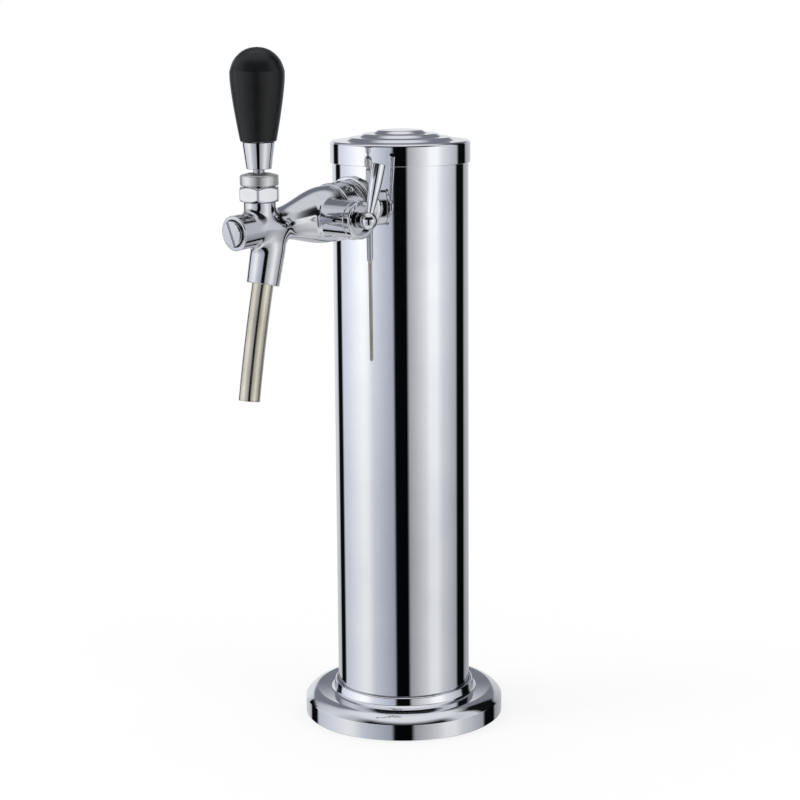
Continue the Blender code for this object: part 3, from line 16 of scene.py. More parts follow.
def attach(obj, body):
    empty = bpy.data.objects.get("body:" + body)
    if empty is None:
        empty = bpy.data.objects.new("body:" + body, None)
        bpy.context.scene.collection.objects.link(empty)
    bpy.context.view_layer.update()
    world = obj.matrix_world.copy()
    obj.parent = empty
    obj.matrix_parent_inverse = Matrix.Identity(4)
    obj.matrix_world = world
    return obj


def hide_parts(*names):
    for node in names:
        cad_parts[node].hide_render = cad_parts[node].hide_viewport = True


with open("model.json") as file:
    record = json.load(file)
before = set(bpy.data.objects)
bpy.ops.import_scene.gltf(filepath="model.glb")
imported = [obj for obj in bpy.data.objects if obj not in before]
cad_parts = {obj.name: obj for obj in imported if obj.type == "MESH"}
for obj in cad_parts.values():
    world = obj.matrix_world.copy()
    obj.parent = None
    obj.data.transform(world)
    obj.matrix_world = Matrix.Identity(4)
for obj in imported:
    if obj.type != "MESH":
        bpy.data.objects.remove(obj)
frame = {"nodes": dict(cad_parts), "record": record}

log = logging.getLogger("beer_tower")

MM = 0.001
SHARP_ANGLE = math.radians(38)
ROUND_STEP = math.radians(11)
CORNER_SHARE = 0.49
HOLDING_POINT = 0.1
WIDE_TURN = 160
FITTING_TURN = 96
SMALL_TURN = 64

DRILL_OVERRUN = 6.0
SAMPLE_BLOCK = 6
PROBE_SHARE = 0.05
LEAST_SLOPE = 0.25
SURFACE_PASSES = 3

WHITE = "#FFFFFF"
PATCH_RANGE = (0.35, 0.65)
HAZE_RANGE = (0.7, 1.3)

Corner = tuple[float, ...]
Corners = tuple[Corner, ...]
Outline = list[tuple[float, float]]
Piece = bpy.types.Object
Tree = bpy.types.NodeTree
Socket = bpy.types.NodeSocket
Field = Callable[[np.ndarray], np.ndarray]
Ring = tuple[tuple[float, str], ...]


class Body(Enum):
    """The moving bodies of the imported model."""

    TOWER = "tower"
    CAP = "cap"
    HANDLE = "handle"
    FLOW_LEVER = "flow_lever"


class Slot(Enum):
    """The record's material slots."""

    CHROME = "chrome"
    SPOUT_STEEL = "spout_steel"
    PLAIN_STEEL = "plain_steel"
    BRASS = "brass"
    BLACK_PLASTIC = "black_plastic"
    WHITE_PLASTIC = "white_plastic"
    RUBBER = "rubber"
    FOAM = "foam"


@dataclass(frozen=True)
class Axes:
    """The axes that the pieces are turned about, in millimetres and degrees."""

    setback: float = 35.0525
    tap_height: float = 299.0
    tap_tilt: float = 4.5
    handle_reach: float = 106.0
    pivot_height: float = 21.8
    spout_reach: float = 98.0
    spout_tilt: float = 12.6
    flow_reach: float = 65.5
    hub_place: float = 40.0
    lever_lean: float = 15.0

    def height_on_tap(self, reach: float) -> float:
        """Height of the tap's axis at a distance in front of the column's axis."""
        return self.tap_height - reach * math.tan(math.radians(self.tap_tilt))

    def place(self, forward: float, height: float, turn: Sequence[float] = (0, 0, 0)) -> Matrix:
        """A local frame in the tower.

        Args:
            forward: distance in front of the column's axis.
            height: height above the counter.
            turn: rotation about X, Y and Z in degrees.

        Returns:
            The matrix from the local frame to the world, in millimetres.
        """
        rotation = Euler([math.radians(angle) for angle in turn]).to_matrix().to_4x4()
        return Matrix.Translation((0, self.setback - forward, height)) @ rotation

    @property
    def tower(self) -> Matrix:
        """The column's axis, from the counter up."""
        return self.place(0, 0)

    @property
    def tap(self) -> Matrix:
        """The tap's axis, from the column's axis forward."""
        return self.place(0, self.tap_height, (90 + self.tap_tilt, 0, 0))

    @property
    def handle(self) -> Matrix:
        """The handle's axis, up from the tap's axis."""
        return self.place(self.handle_reach, self.height_on_tap(self.handle_reach))

    @property
    def pivot(self) -> Matrix:
        """The handle's axis, up from its pivot."""
        return self.handle @ Matrix.Translation((0, 0, self.pivot_height))

    @property
    def spout(self) -> Matrix:
        """The spout socket's axis, down from the tap's axis."""
        height = self.height_on_tap(self.spout_reach)
        return self.place(self.spout_reach, height, (180 - self.spout_tilt, 0, 0))

    @property
    def flow(self) -> Matrix:
        """The flow control's axis, out to the side from the tap's axis."""
        return self.place(self.flow_reach, self.height_on_tap(self.flow_reach), (90, 0, 90))

    @property
    def lever(self) -> Matrix:
        """The side lever's axis, up from the hub's middle."""
        rotation = Euler((-math.pi / 2, 0, -math.radians(self.lever_lean))).to_matrix().to_4x4()
        return self.flow @ Matrix.Translation((0, 0, self.hub_place)) @ rotation


AXES = Axes()


def softened(corners: Sequence[Corner]) -> Outline:
    """Rounds the corners of an outline that have a third value.

    Args:
        corners: (radius, height) or (radius, height, edge round) in millimetres.

    Returns:
        The outline's points, with an arc at each rounded corner.
    """
    points: Outline = []
    count = len(corners)
    for index, corner in enumerate(corners):
        here = Vector(corner[:2])
        size = corner[2] if len(corner) > 2 else 0.0
        if not size:
            points.append((here.x, here.y))
            continue
        back = Vector(corners[index - 1][:2]) - here
        ahead = Vector(corners[(index + 1) % count][:2]) - here
        half = back.angle(ahead) / 2
        longest = CORNER_SHARE * min(back.length, ahead.length)
        reach = min(size / math.tan(half), longest)
        radius = reach * math.tan(half)
        middle = back.normalized() + ahead.normalized()
        centre = here + middle.normalized() * radius / math.sin(half)
        start = here + back.normalized() * reach - centre
        end = here + ahead.normalized() * reach - centre
        first = math.atan2(start.y, start.x)
        turn = (math.atan2(end.y, end.x) - first + math.pi) % math.tau - math.pi
        steps = max(3, math.ceil(abs(turn) / ROUND_STEP))
        for step in range(steps + 1):
            angle = first + turn * step / steps
            points.append(
                (centre.x + radius * math.cos(angle), centre.y + radius * math.sin(angle))
            )
    return points


def curve_through(points: Sequence[tuple[float, float]], steps: int = 8) -> Outline:
    """A smooth curve through a few points, ends included."""
    padded = [points[0], *points, points[-1]]
    curve: Outline = [points[0]]
    for p0, p1, p2, p3 in zip(padded, padded[1:], padded[2:], padded[3:]):
        for step in range(1, steps + 1):
            t = step / steps
            curve.append(tuple(
                0.5 * (
                    2 * b + (c - a) * t + (2 * a - 5 * b + 4 * c - d) * t * t
                    + (3 * b - a - 3 * c + d) * t ** 3
                )
                for a, b, c, d in zip(p0, p1, p2, p3)
            ))
    return curve


def with_holding_points(outline: Outline) -> Outline:
    """Adds a point near both ends of each long straight stretch, so that its shading is flat."""
    held: Outline = []
    for here, after in zip(outline, outline[1:] + outline[:1]):
        held.append(here)
        span = Vector(after) - Vector(here)
        on_axis = here[0] == 0 and after[0] == 0
        if span.length > 4 * HOLDING_POINT and not on_axis:
            step = span.normalized() * HOLDING_POINT
            held.append((here[0] + step.x, here[1] + step.y))
            held.append((after[0] - step.x, after[1] - step.y))
    return held


def mesh_object(
    name: str, points: np.ndarray, faces: Sequence[Sequence[int]], sharp: bool = True
) -> Piece:
    """Makes a smooth-shaded object with outward faces.

    Args:
        name: the piece's name.
        points: its corners in world millimetres.
        faces: the corner numbers of each face.
        sharp: whether edges over SHARP_ANGLE show as sharp.

    Returns:
        The new object, linked to the scene.
    """
    mesh = bpy.data.meshes.new(name)
    mesh.from_pydata((np.asarray(points) * MM).tolist(), [], [list(face) for face in faces])
    shape = bmesh.new()
    shape.from_mesh(mesh)
    bmesh.ops.recalc_face_normals(shape, faces=shape.faces[:])
    shape.to_mesh(mesh)
    shape.free()
    mesh.shade_smooth()
    if sharp:
        mesh.set_sharp_from_angle(angle=SHARP_ANGLE)
    piece = bpy.data.objects.new(name, mesh)
    bpy.context.scene.collection.objects.link(piece)
    return piece


def placed(points: np.ndarray, place: Matrix) -> np.ndarray:
    """Takes local points to the world with a matrix in millimetres."""
    matrix = np.array(place)
    return points @ matrix[:3, :3].T + matrix[:3, 3]


def turned(
    name: str, outline: Outline, place: Matrix, segments: int = FITTING_TURN
) -> Piece:
    """Turns a closed outline about local Z.

    Args:
        name: the piece's name.
        outline: (radius, height) points in millimetres. Points on the axis become poles.
        place: the local frame.
        segments: facets round the turn.

    Returns:
        The turned piece.
    """
    held = with_holding_points(outline)
    angles = np.linspace(0, math.tau, segments, endpoint=False)
    circle = np.stack([np.cos(angles), np.sin(angles)], 1)
    points: list[np.ndarray] = []
    rings: list[np.ndarray] = []
    start = 0
    for radius, height in held:
        if radius == 0:
            points.append(np.array([[0, 0, height]]))
            rings.append(np.full(segments, start))
            start += 1
            continue
        points.append(np.column_stack([circle * radius, np.full(segments, height)]))
        rings.append(np.arange(start, start + segments))
        start += segments
    faces: list[list[int]] = []
    for first, second in zip(rings, rings[1:] + rings[:1]):
        for a, b, c, d in zip(first, np.roll(first, -1), np.roll(second, -1), second):
            face = list(dict.fromkeys((int(a), int(b), int(c), int(d))))
            if len(face) > 2:
                faces.append(face)
    return mesh_object(name, placed(np.vstack(points), place), faces)


def ring_grid(name: str, rings: np.ndarray) -> Piece:
    """Joins rings of world points into one closed ring-shaped skin."""
    count, around = rings.shape[:2]
    numbers = np.arange(count * around).reshape(count, around)
    after, beside = np.roll(numbers, -1, 0), np.roll(numbers, -1, 1)
    quads = np.stack([numbers, beside, np.roll(after, -1, 1), after], -1).reshape(-1, 4)
    return mesh_object(name, rings.reshape(-1, 3), quads.tolist())


def outline_distance(outline: Outline, radius: np.ndarray, height: np.ndarray) -> np.ndarray:
    """Signed distance to a closed outline, negative inside; stretches on the axis don't count."""
    nearest = np.full(radius.shape, np.inf)
    inside = np.zeros(radius.shape, bool)
    for (r0, z0), (r1, z1) in zip(outline, outline[1:] + outline[:1]):
        if r0 == 0 and r1 == 0:
            continue
        run, rise = r1 - r0, z1 - z0
        length = run * run + rise * rise
        if not length:
            continue
        share = np.clip(((radius - r0) * run + (height - z0) * rise) / length, 0, 1)
        gap = (radius - r0 - share * run) ** 2 + (height - z0 - share * rise) ** 2
        nearest = np.minimum(nearest, gap)
        if rise:
            crossed = ((z0 > height) != (z1 > height))
            inside ^= crossed & (radius < r0 + (height - z0) * run / rise)
    distance = np.sqrt(nearest)
    return np.where(inside, -distance, distance)


def turned_field(outline: Outline, place: Matrix) -> Field:
    """The distance to a turned solid that stands in a local frame."""
    back = place.inverted()

    def distance(points: np.ndarray) -> np.ndarray:
        local = placed(points, back)
        return outline_distance(outline, np.hypot(local[:, 0], local[:, 1]), local[:, 2])

    return distance


def slab_field(place: Matrix, normal: Sequence[float], half: float) -> Field:
    """The distance to an endless slab of a half thickness about a local frame's middle."""
    back = place.inverted()
    facing = np.array(normal, float)
    return lambda points: np.abs(placed(points, back) @ facing) - half


def above_field(place: Matrix, level: float) -> Field:
    """The distance to everything above a level of a local frame."""
    back = place.inverted()
    return lambda points: level - placed(points, back)[:, 2]


def blended(first: Field, second: Field, fillet: float) -> Field:
    """Joins two solids with a fillet."""

    def distance(points: np.ndarray) -> np.ndarray:
        a, b = first(points), second(points)
        share = np.maximum(fillet - np.abs(a - b), 0) / fillet
        return np.minimum(a, b) - share * share * fillet / 4

    return distance


def common(first: Field, second: Field, edge: float) -> Field:
    """What two solids share, with its edges softened."""
    joined = blended(lambda p: -first(p), lambda p: -second(p), edge)
    return lambda points: -joined(points)


def without(first: Field, second: Field, edge: float) -> Field:
    """Takes the second solid out of the first, with the hole's edge softened."""
    return common(first, lambda points: -second(points), edge)


def sampled(solid: Field, low: np.ndarray, counts: np.ndarray, cell: float) -> np.ndarray:
    """Distances on a grid: exact near the surface, and rough elsewhere."""
    block = SAMPLE_BLOCK
    blocks = -(-counts // block)
    middles = np.stack(np.meshgrid(*[np.arange(n) for n in blocks], indexing="ij"), -1)
    rough = solid(low + (middles.reshape(-1, 3) + 0.5) * block * cell)
    near = np.abs(rough) < block * cell
    grid = np.repeat(np.repeat(np.repeat(
        rough.reshape(blocks), block, 0), block, 1), block, 2).astype(np.float32)
    offsets = np.stack(np.meshgrid(*[np.arange(block)] * 3, indexing="ij"), -1).reshape(-1, 3)
    places = (middles.reshape(-1, 3)[near][:, None] * block + offsets).reshape(-1, 3)
    grid[tuple(places.T)] = solid(low + places * cell)
    return grid


def surface_net(
    name: str, solid: Field, low: Sequence[float], high: Sequence[float], cell: float
) -> Piece:
    """Meshes the surface of a solid given by its distances.

    Args:
        name: the piece's name.
        solid: the signed distance to it, in world millimetres.
        low: lowest corner of the space that holds it.
        high: highest corner of that space.
        cell: grid spacing.

    Returns:
        The meshed piece, its corners drawn onto the surface.
    """
    floor = np.array(low, float)
    counts = np.ceil((np.array(high, float) - floor) / cell).astype(int) + 1
    grid = sampled(solid, floor, counts, cell)
    shape = np.array(grid.shape)
    found_cells: list[np.ndarray] = []
    found_points: list[np.ndarray] = []
    quads: list[np.ndarray] = []
    for axis in range(3):
        one, two = (axis + 1) % 3, (axis + 2) % 3
        here = np.take(grid, range(shape[axis] - 1), axis)
        after = np.take(grid, range(1, shape[axis]), axis)
        at = np.argwhere((here < 0) != (after < 0))
        first, second = here[tuple(at.T)], after[tuple(at.T)]
        crossing = at.astype(float)
        crossing[:, axis] += first / (first - second)
        corners = []
        for back_one, back_two in ((0, 0), (1, 0), (1, 1), (0, 1)):
            beside = at.copy()
            beside[:, one] -= back_one
            beside[:, two] -= back_two
            corners.append(np.ravel_multi_index(tuple(beside.T), tuple(shape)))
        quad = np.stack(corners, 1)
        quad[first > 0] = quad[first > 0][:, ::-1]
        quads.append(quad)
        found_cells += corners
        found_points += [crossing] * 4
    cells, numbers = np.unique(np.concatenate(found_cells), return_inverse=True)
    spots = np.concatenate(found_points)
    share = np.bincount(numbers)
    points = np.stack([np.bincount(numbers, spots[:, i]) / share for i in range(3)], 1)
    points = floor + points * cell
    faces = np.searchsorted(cells, np.concatenate(quads))
    probe = PROBE_SHARE * cell
    for _ in range(SURFACE_PASSES):
        distance = solid(points)
        slope = np.stack([
            (solid(points + step) - solid(points - step)) / (2 * probe)
            for step in np.eye(3) * probe
        ], 1)
        steep = np.maximum((slope * slope).sum(1), LEAST_SLOPE)
        move = np.clip(distance / steep, -cell, cell)
        points -= slope * move[:, None]
    return mesh_object(name, points, faces.tolist(), sharp=False)


def net_round(
    name: str, solid: Field, place: Matrix, height: float, reach: Sequence[float], cell: float
) -> Piece:
    """Meshes a small solid that lies within a reach of one height of a local frame."""
    middle, half = np.array(place @ Vector((0, 0, height))), np.array(reach)
    return surface_net(name, solid, middle - half, middle + half, cell)


def linear(hex_colour: str) -> tuple[float, float, float, float]:
    """Turns an sRGB hex colour to linear values with an alpha of 1."""
    parts = [int(hex_colour[i:i + 2], 16) / 255 for i in (1, 3, 5)]
    red, green, blue = (p / 12.92 if p <= 0.04045 else ((p + 0.055) / 1.055) ** 2.4 for p in parts)
    return (red, green, blue, 1.0)


def add_node(
    tree: Tree, kind: str, values: dict[str | int, object], **settings: object
) -> bpy.types.Node:
    """Adds a node.

    Args:
        tree: the node tree.
        kind: the node's type name after ShaderNode.
        values: for each input, a value or the output that feeds it.
        settings: the node's own settings.

    Returns:
        The new node.
    """
    node = tree.nodes.new("ShaderNode" + kind)
    for name, value in settings.items():
        setattr(node, name, value)
    for name, value in values.items():
        if isinstance(value, Socket):
            tree.links.new(value, node.inputs[name])
        else:
            node.inputs[name].default_value = value
    return node


def empty_tree(owner: bpy.types.Material | bpy.types.World) -> Tree:
    """Turns on a material's or world's nodes and takes the default ones out."""
    owner.use_nodes = True
    owner.node_tree.nodes.clear()
    return owner.node_tree


@dataclass(frozen=True)
class Finish:
    """A real material's finish: two near colours, a roughness range and a fine relief.

    Lengths are in millimetres. The stretch squeezes the pattern along X, Y and Z of its frame.
    """

    name: str
    slot: Slot
    colour: str
    second_colour: str
    roughness: tuple[float, float]
    metallic: float = 0.0
    patch: float = 12.0
    grain: float = 0.8
    relief: float = 0.0005
    stretch: tuple[float, float, float] = (1.0, 1.0, 1.0)
    turn: tuple[float, float, float] = (0.0, 0.0, 0.0)
    coat: float = 0.0
    specular: float = 0.5

    def build(self) -> bpy.types.Material:
        """Makes the node material."""
        material = bpy.data.materials.new(self.name)
        tree = empty_tree(material)
        place = add_node(tree, "TexCoord", {}).outputs["Object"]
        turned_place = add_node(tree, "Mapping", {
            "Vector": place, "Rotation": [math.radians(angle) for angle in self.turn],
            "Scale": self.stretch,
        }).outputs["Vector"]
        patches = add_node(tree, "TexNoise", {
            "Vector": place, "Scale": 1 / (self.patch * MM), "Detail": 3.0,
        }).outputs["Fac"]
        grain = add_node(tree, "TexNoise", {
            "Vector": turned_place, "Scale": 1 / (self.grain * MM), "Detail": 2.0,
        }).outputs["Fac"]
        colour = add_node(tree, "ValToRGB", {"Fac": patches})
        for stop, (position, shade) in zip(
            colour.color_ramp.elements,
            zip(PATCH_RANGE, (self.colour, self.second_colour)),
        ):
            stop.position = position
            stop.color = linear(shade)
        both = add_node(tree, "Math", {0: patches, 1: grain}, operation="ADD")
        rough = add_node(tree, "MapRange", {
            "Value": both.outputs[0], "From Min": HAZE_RANGE[0], "From Max": HAZE_RANGE[1],
            "To Min": self.roughness[0], "To Max": self.roughness[1],
        }).outputs["Result"]
        bump = add_node(tree, "Bump", {
            "Height": grain, "Distance": self.relief * MM, "Strength": 1.0,
        }).outputs["Normal"]
        shader = add_node(tree, "BsdfPrincipled", {
            "Base Color": colour.outputs["Color"], "Roughness": rough, "Normal": bump,
            "Metallic": self.metallic, "Coat Weight": self.coat,
            "Specular IOR Level": self.specular,
        })
        add_node(tree, "OutputMaterial", {"Surface": shader.outputs["BSDF"]})
        return material


# Bright chromium over polished brass: a cold white mirror with hardly any haze.
CHROME_PLATE = Finish(
    "polished_chromium_plate", Slot.CHROME, "#E9EAEC", "#E3E4E8", (0.02, 0.045), 1.0,
    patch=40.0, grain=6.0, relief=0.0004,
)
# The tap is plated on a casting that was polished by hand, so its mirror is darker and less flat.
CAST_CHROME = Finish(
    "chromium_plated_casting", Slot.CHROME, "#D9DADC", "#CFD0D3", (0.045, 0.085), 1.0,
    patch=14.0, grain=3.0, relief=0.0012,
)
# Turned rings left satin before plating: pale, with soft edges to every reflection.
SATIN_CHROME = Finish(
    "satin_chromium_plate", Slot.CHROME, "#E2E2E0", "#D6D6D4", (0.34, 0.42), 1.0,
    patch=8.0, grain=0.5, relief=0.0015, stretch=(1.0, 1.0, 6.0),
)
# Drawn stainless tube: warm grey with fine lines along it.
DRAWN_STEEL = Finish(
    "drawn_stainless_tube", Slot.SPOUT_STEEL, "#D2CCBD", "#C2BBAA", (0.13, 0.22), 1.0,
    patch=16.0, grain=0.6, relief=0.0015, stretch=(1.0, 1.0, 0.06), turn=(10.5, 0.0, 0.0),
)
# Machined steel with faint tool marks, seen only inside.
MACHINED_STEEL = Finish(
    "machined_steel", Slot.PLAIN_STEEL, "#B9BCBE", "#A6A9AC", (0.22, 0.34), 1.0,
    patch=10.0, grain=0.5, relief=0.002,
)
# Free-cutting brass from the bar: yellow, slightly dulled.
TURNED_BRASS = Finish(
    "turned_brass", Slot.BRASS, "#D9B364", "#C49A4C", (0.20, 0.32), 1.0,
    patch=9.0, grain=0.5, relief=0.002,
)
# Moulded phenolic: near black, satin, with a faint moulded skin.
MOULDED_PHENOLIC = Finish(
    "moulded_black_phenolic", Slot.BLACK_PLASTIC, "#0D0E0F", "#131415", (0.30, 0.38), 0.0,
    patch=9.0, grain=0.45, relief=0.004, specular=0.32,
)
# Turned acetal: milky white, slightly waxy.
TURNED_ACETAL = Finish(
    "turned_white_acetal", Slot.WHITE_PLASTIC, "#E9E7E0", "#DEDCD4", (0.35, 0.45), 0.0,
    patch=7.0, grain=0.4, relief=0.003,
)
# Nitrile rubber: dull black with a dusty bloom.
NITRILE_RUBBER = Finish(
    "nitrile_rubber", Slot.RUBBER, "#1E1E1F", "#2B2B2C", (0.62, 0.78), 0.0,
    patch=6.0, grain=0.4, relief=0.01,
)
# Closed-cell foam: pale grey with cells of about a millimetre.
CLOSED_CELL_FOAM = Finish(
    "closed_cell_foam", Slot.FOAM, "#CFCCC2", "#BDB9AE", (0.80, 0.95), 0.0,
    patch=8.0, grain=1.2, relief=0.15,
)

NODE_FINISHES = {
    finish.slot.value: finish
    for finish in (
        CHROME_PLATE, DRAWN_STEEL, MACHINED_STEEL, TURNED_BRASS, MOULDED_PHENOLIC,
        TURNED_ACETAL, NITRILE_RUBBER, CLOSED_CELL_FOAM,
    )
}


class Wardrobe:
    """Builds each finish once and dresses pieces with it."""

    def __init__(self) -> None:
        """Starts with no material built."""
        self.built: dict[str, bpy.types.Material] = {}

    def material(self, finish: Finish) -> bpy.types.Material:
        """Returns the finish's material, building it the first time."""
        if finish.name not in self.built:
            self.built[finish.name] = finish.build()
        return self.built[finish.name]

    def dress(
        self, piece: Piece, finish: Finish, body: Body, *nodes: str
    ) -> Piece:
        """Gives a new piece its finish and its body, and hides the CAD nodes that it stands for."""
        piece.data.materials.clear()
        piece.data.materials.append(self.material(finish))
        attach(piece, body.value)
        if nodes:
            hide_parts(*nodes)
        log.info("piece %s rides on %s", piece.name, body.value)
        return piece

    def dress_node(self, name: str, slot: str) -> None:
        """Gives a carried-over CAD node the finish of its slot."""
        node = frame["nodes"][name]
        for place in node.material_slots:
            place.material = self.material(NODE_FINISHES[slot])


@dataclass
class Base:
    """Domed cover flange with its collar, in millimetres."""

    radius: float = 57.0
    wall_height: float = 9.5
    crest: tuple[float, float] = (50.0, 14.5)
    crease: float = 60.0
    shell: float = 2.0
    collar: Corners = (
        (41.8, 14.0, 1.2), (40.7, 15.2, 0.5), (39.8, 19.5, 0.8), (38.3, 19.5, 0.2),
    )
    foot_edge: float = 0.5
    edge_round: float = 0.3
    arc_steps: int = 20

    def shoulder(self, inset: float, start: float) -> Outline:
        """The shoulder inside an inset; a start over 0 degrees on its ellipse gives a crease."""
        first = math.radians(start)
        across = (self.radius - self.crest[0] - inset) / math.cos(first)
        rise = (self.crest[1] - self.wall_height - inset) / (1 - math.sin(first))
        middle = self.crest[1] - inset - rise
        angles = np.linspace(first, math.pi / 2, self.arc_steps + 1)
        return [(self.crest[0] + across * math.cos(a), middle + rise * math.sin(a)) for a in angles]

    def build(self, wardrobe: Wardrobe) -> None:
        """Builds the flange."""
        size = self.foot_edge
        outside = [(self.radius - self.shell, 0.0), (self.radius - size, 0.0, self.edge_round)]
        outside += [(self.radius, size, self.edge_round)] + self.shoulder(0, self.crease)
        inside = self.shoulder(self.shell, 0)[::-1]
        corners = outside + list(self.collar)
        corners += [(self.collar[-1][0], self.collar[0][1] - self.shell)] + inside
        flange = turned("flange_cover", softened(corners), AXES.tower, WIDE_TURN)
        wardrobe.dress(flange, CHROME_PLATE, Body.TOWER, "base_flange")


@dataclass
class Column:
    """Chromed column tube, in millimetres."""

    radius: float = 38.0
    wall: float = 1.5
    foot: float = 6.3
    top: float = 329.5
    edge: float = 0.3

    def build(self, wardrobe: Wardrobe) -> None:
        """Builds the tube."""
        bore = self.radius - self.wall
        corners = [
            (bore, self.foot), (self.radius, self.foot, self.edge),
            (self.radius, self.top, self.edge), (bore, self.top, self.edge),
        ]
        tube = turned("column_skin", softened(corners), AXES.tower, WIDE_TURN)
        wardrobe.dress(tube, CHROME_PLATE, Body.TOWER, "column_tube")


@dataclass
class Cap:
    """Slip-over cap with three pressed steps, in millimetres from the column's top."""

    seat: float = 329.8
    bore: float = 38.3
    radius: float = 39.1
    skirt: float = 12.0
    sheet: float = 1.2
    step_radii: tuple[float, ...] = (31.0, 23.6, 15.4)
    step_rise: float = 1.9
    step_taper: float = 3.2
    step_round: float = 2.4
    edge_round: float = 1.8
    skirt_edges: tuple[float, float] = (0.15, 0.25)
    spigot: tuple[float, float, float] = (32.7, 34.2, 8.0)

    def build(self, wardrobe: Wardrobe) -> None:
        """Builds the cap."""
        top = self.sheet
        corners: list[Corner] = [
            (self.bore, top - self.skirt, self.skirt_edges[0]),
            (self.radius, top - self.skirt, self.skirt_edges[1]),
            (self.radius, top, self.edge_round),
        ]
        for radius in self.step_radii:
            corners.append((radius, top, self.step_round))
            corners.append((radius - self.step_taper, top + self.step_rise, self.step_round))
            top += self.step_rise
        corners += [(0.0, top), (0.0, top - self.sheet)]
        inside = top - self.sheet
        for radius in reversed(self.step_radii):
            inner = radius - self.sheet
            corners += [(inner - self.step_taper, inside), (inner, inside - self.step_rise)]
            inside -= self.step_rise
        low = -self.spigot[2]
        corners += [
            (self.spigot[0], inside), (self.spigot[0], low), (self.spigot[1], low),
            (self.spigot[1], 0.0), (self.bore, 0.0),
        ]
        place = AXES.tower @ Matrix.Translation((0, 0, self.seat))
        cap = turned("stepped_cap", softened(corners), place, WIDE_TURN)
        wardrobe.dress(cap, CHROME_PLATE, Body.CAP, "top_cap")


@dataclass
class TapMount:
    """Saddle washer, shank and coupling nut, in millimetres along the tap's axis."""

    saddle_radius: float = 17.5
    saddle_front: float = 40.3
    saddle_round: float = 0.8
    saddle_bore: float = 11.3
    column_clear: float = 38.3
    round_rows: int = 8
    rear_rows: int = 14
    shank: Corners = (
        (5.0, 15.0), (11.0, 15.0, 0.4), (11.0, 40.6), (15.0, 40.6, 0.4), (15.0, 42.3, 0.5),
        (13.0, 42.3), (13.0, 48.3, 0.5), (5.0, 48.3, 0.3),
    )
    nut: Corners = (
        (13.3, 42.7, 0.3), (15.9, 42.7, 0.9), (15.9, 55.4, 1.1), (12.0, 55.4, 0.3),
        (12.0, 53.2), (13.3, 53.2),
    )
    hole_radius: float = 2.0
    hole_depth: float = 1.8
    hole_place: float = 48.8
    hole_first: float = 54.0
    holes: int = 6
    hole_edge: float = 0.5
    nut_middle: float = 49.0
    nut_reach: tuple[float, ...] = (17.5, 9.5, 18.5)
    cell: float = 0.32

    def saddle(self) -> Piece:
        """The washer whose rear is curved to the column."""
        angles = np.linspace(0, math.tau, FITTING_TURN, endpoint=False)
        tilt = math.radians(AXES.tap_tilt)

        def rear(radius: float) -> np.ndarray:
            """How far along the tap's axis the column's wall lies at each angle."""
            across, up = radius * np.cos(angles), radius * np.sin(angles)
            forward = np.sqrt(self.column_clear ** 2 - across ** 2)
            return (forward - up * math.sin(tilt)) / math.cos(tilt)

        front = self.saddle_front
        size = self.saddle_round
        rows = [(self.saddle_bore, np.full(angles.shape, front))]
        for turn in np.linspace(math.pi / 2, 0, self.round_rows):
            radius = self.saddle_radius - size + size * math.cos(turn)
            rows.append((radius, np.full(angles.shape, front - size + size * math.sin(turn))))
        for radius in np.linspace(self.saddle_radius, self.saddle_bore, self.rear_rows):
            rows.append((radius, rear(radius)))
        held = [rows[0], (self.saddle_bore + HOLDING_POINT, rows[0][1])]
        held += [(self.saddle_radius - size - HOLDING_POINT, rows[0][1])] + rows[1:]
        rings = np.stack([
            np.column_stack([radius * np.cos(angles), radius * np.sin(angles), along])
            for radius, along in held
        ])
        return ring_grid("saddle_ring", placed(rings.reshape(-1, 3), AXES.tap).reshape(rings.shape))

    def coupling(self) -> Piece:
        """The round nut with its blind spanner holes."""
        solid = turned_field(softened(self.nut), AXES.tap)
        deep = self.nut[1][0] - self.hole_depth
        over = deep + DRILL_OVERRUN
        drill = [(0.0, deep), (self.hole_radius, deep), (self.hole_radius, over), (0.0, over)]
        for number in range(self.holes):
            turn = math.radians(self.hole_first) + math.tau * number / self.holes
            rotation = Euler((0, math.pi / 2, turn)).to_matrix().to_4x4()
            place = AXES.tap @ Matrix.Translation((0, 0, self.hole_place)) @ rotation
            solid = without(solid, turned_field(drill, place), self.hole_edge)
        return net_round(
            "round_coupling_nut", solid, AXES.tap, self.nut_middle, self.nut_reach, self.cell
        )

    def build(self, wardrobe: Wardrobe) -> None:
        """Builds the washer, the shank and the nut."""
        shank = turned("threaded_shank", softened(self.shank), AXES.tap)
        wardrobe.dress(self.saddle(), CHROME_PLATE, Body.TOWER, "saddle_washer")
        wardrobe.dress(shank, SATIN_CHROME, Body.TOWER, "shank")
        wardrobe.dress(self.coupling(), CAST_CHROME, Body.TOWER, "coupling_nut")


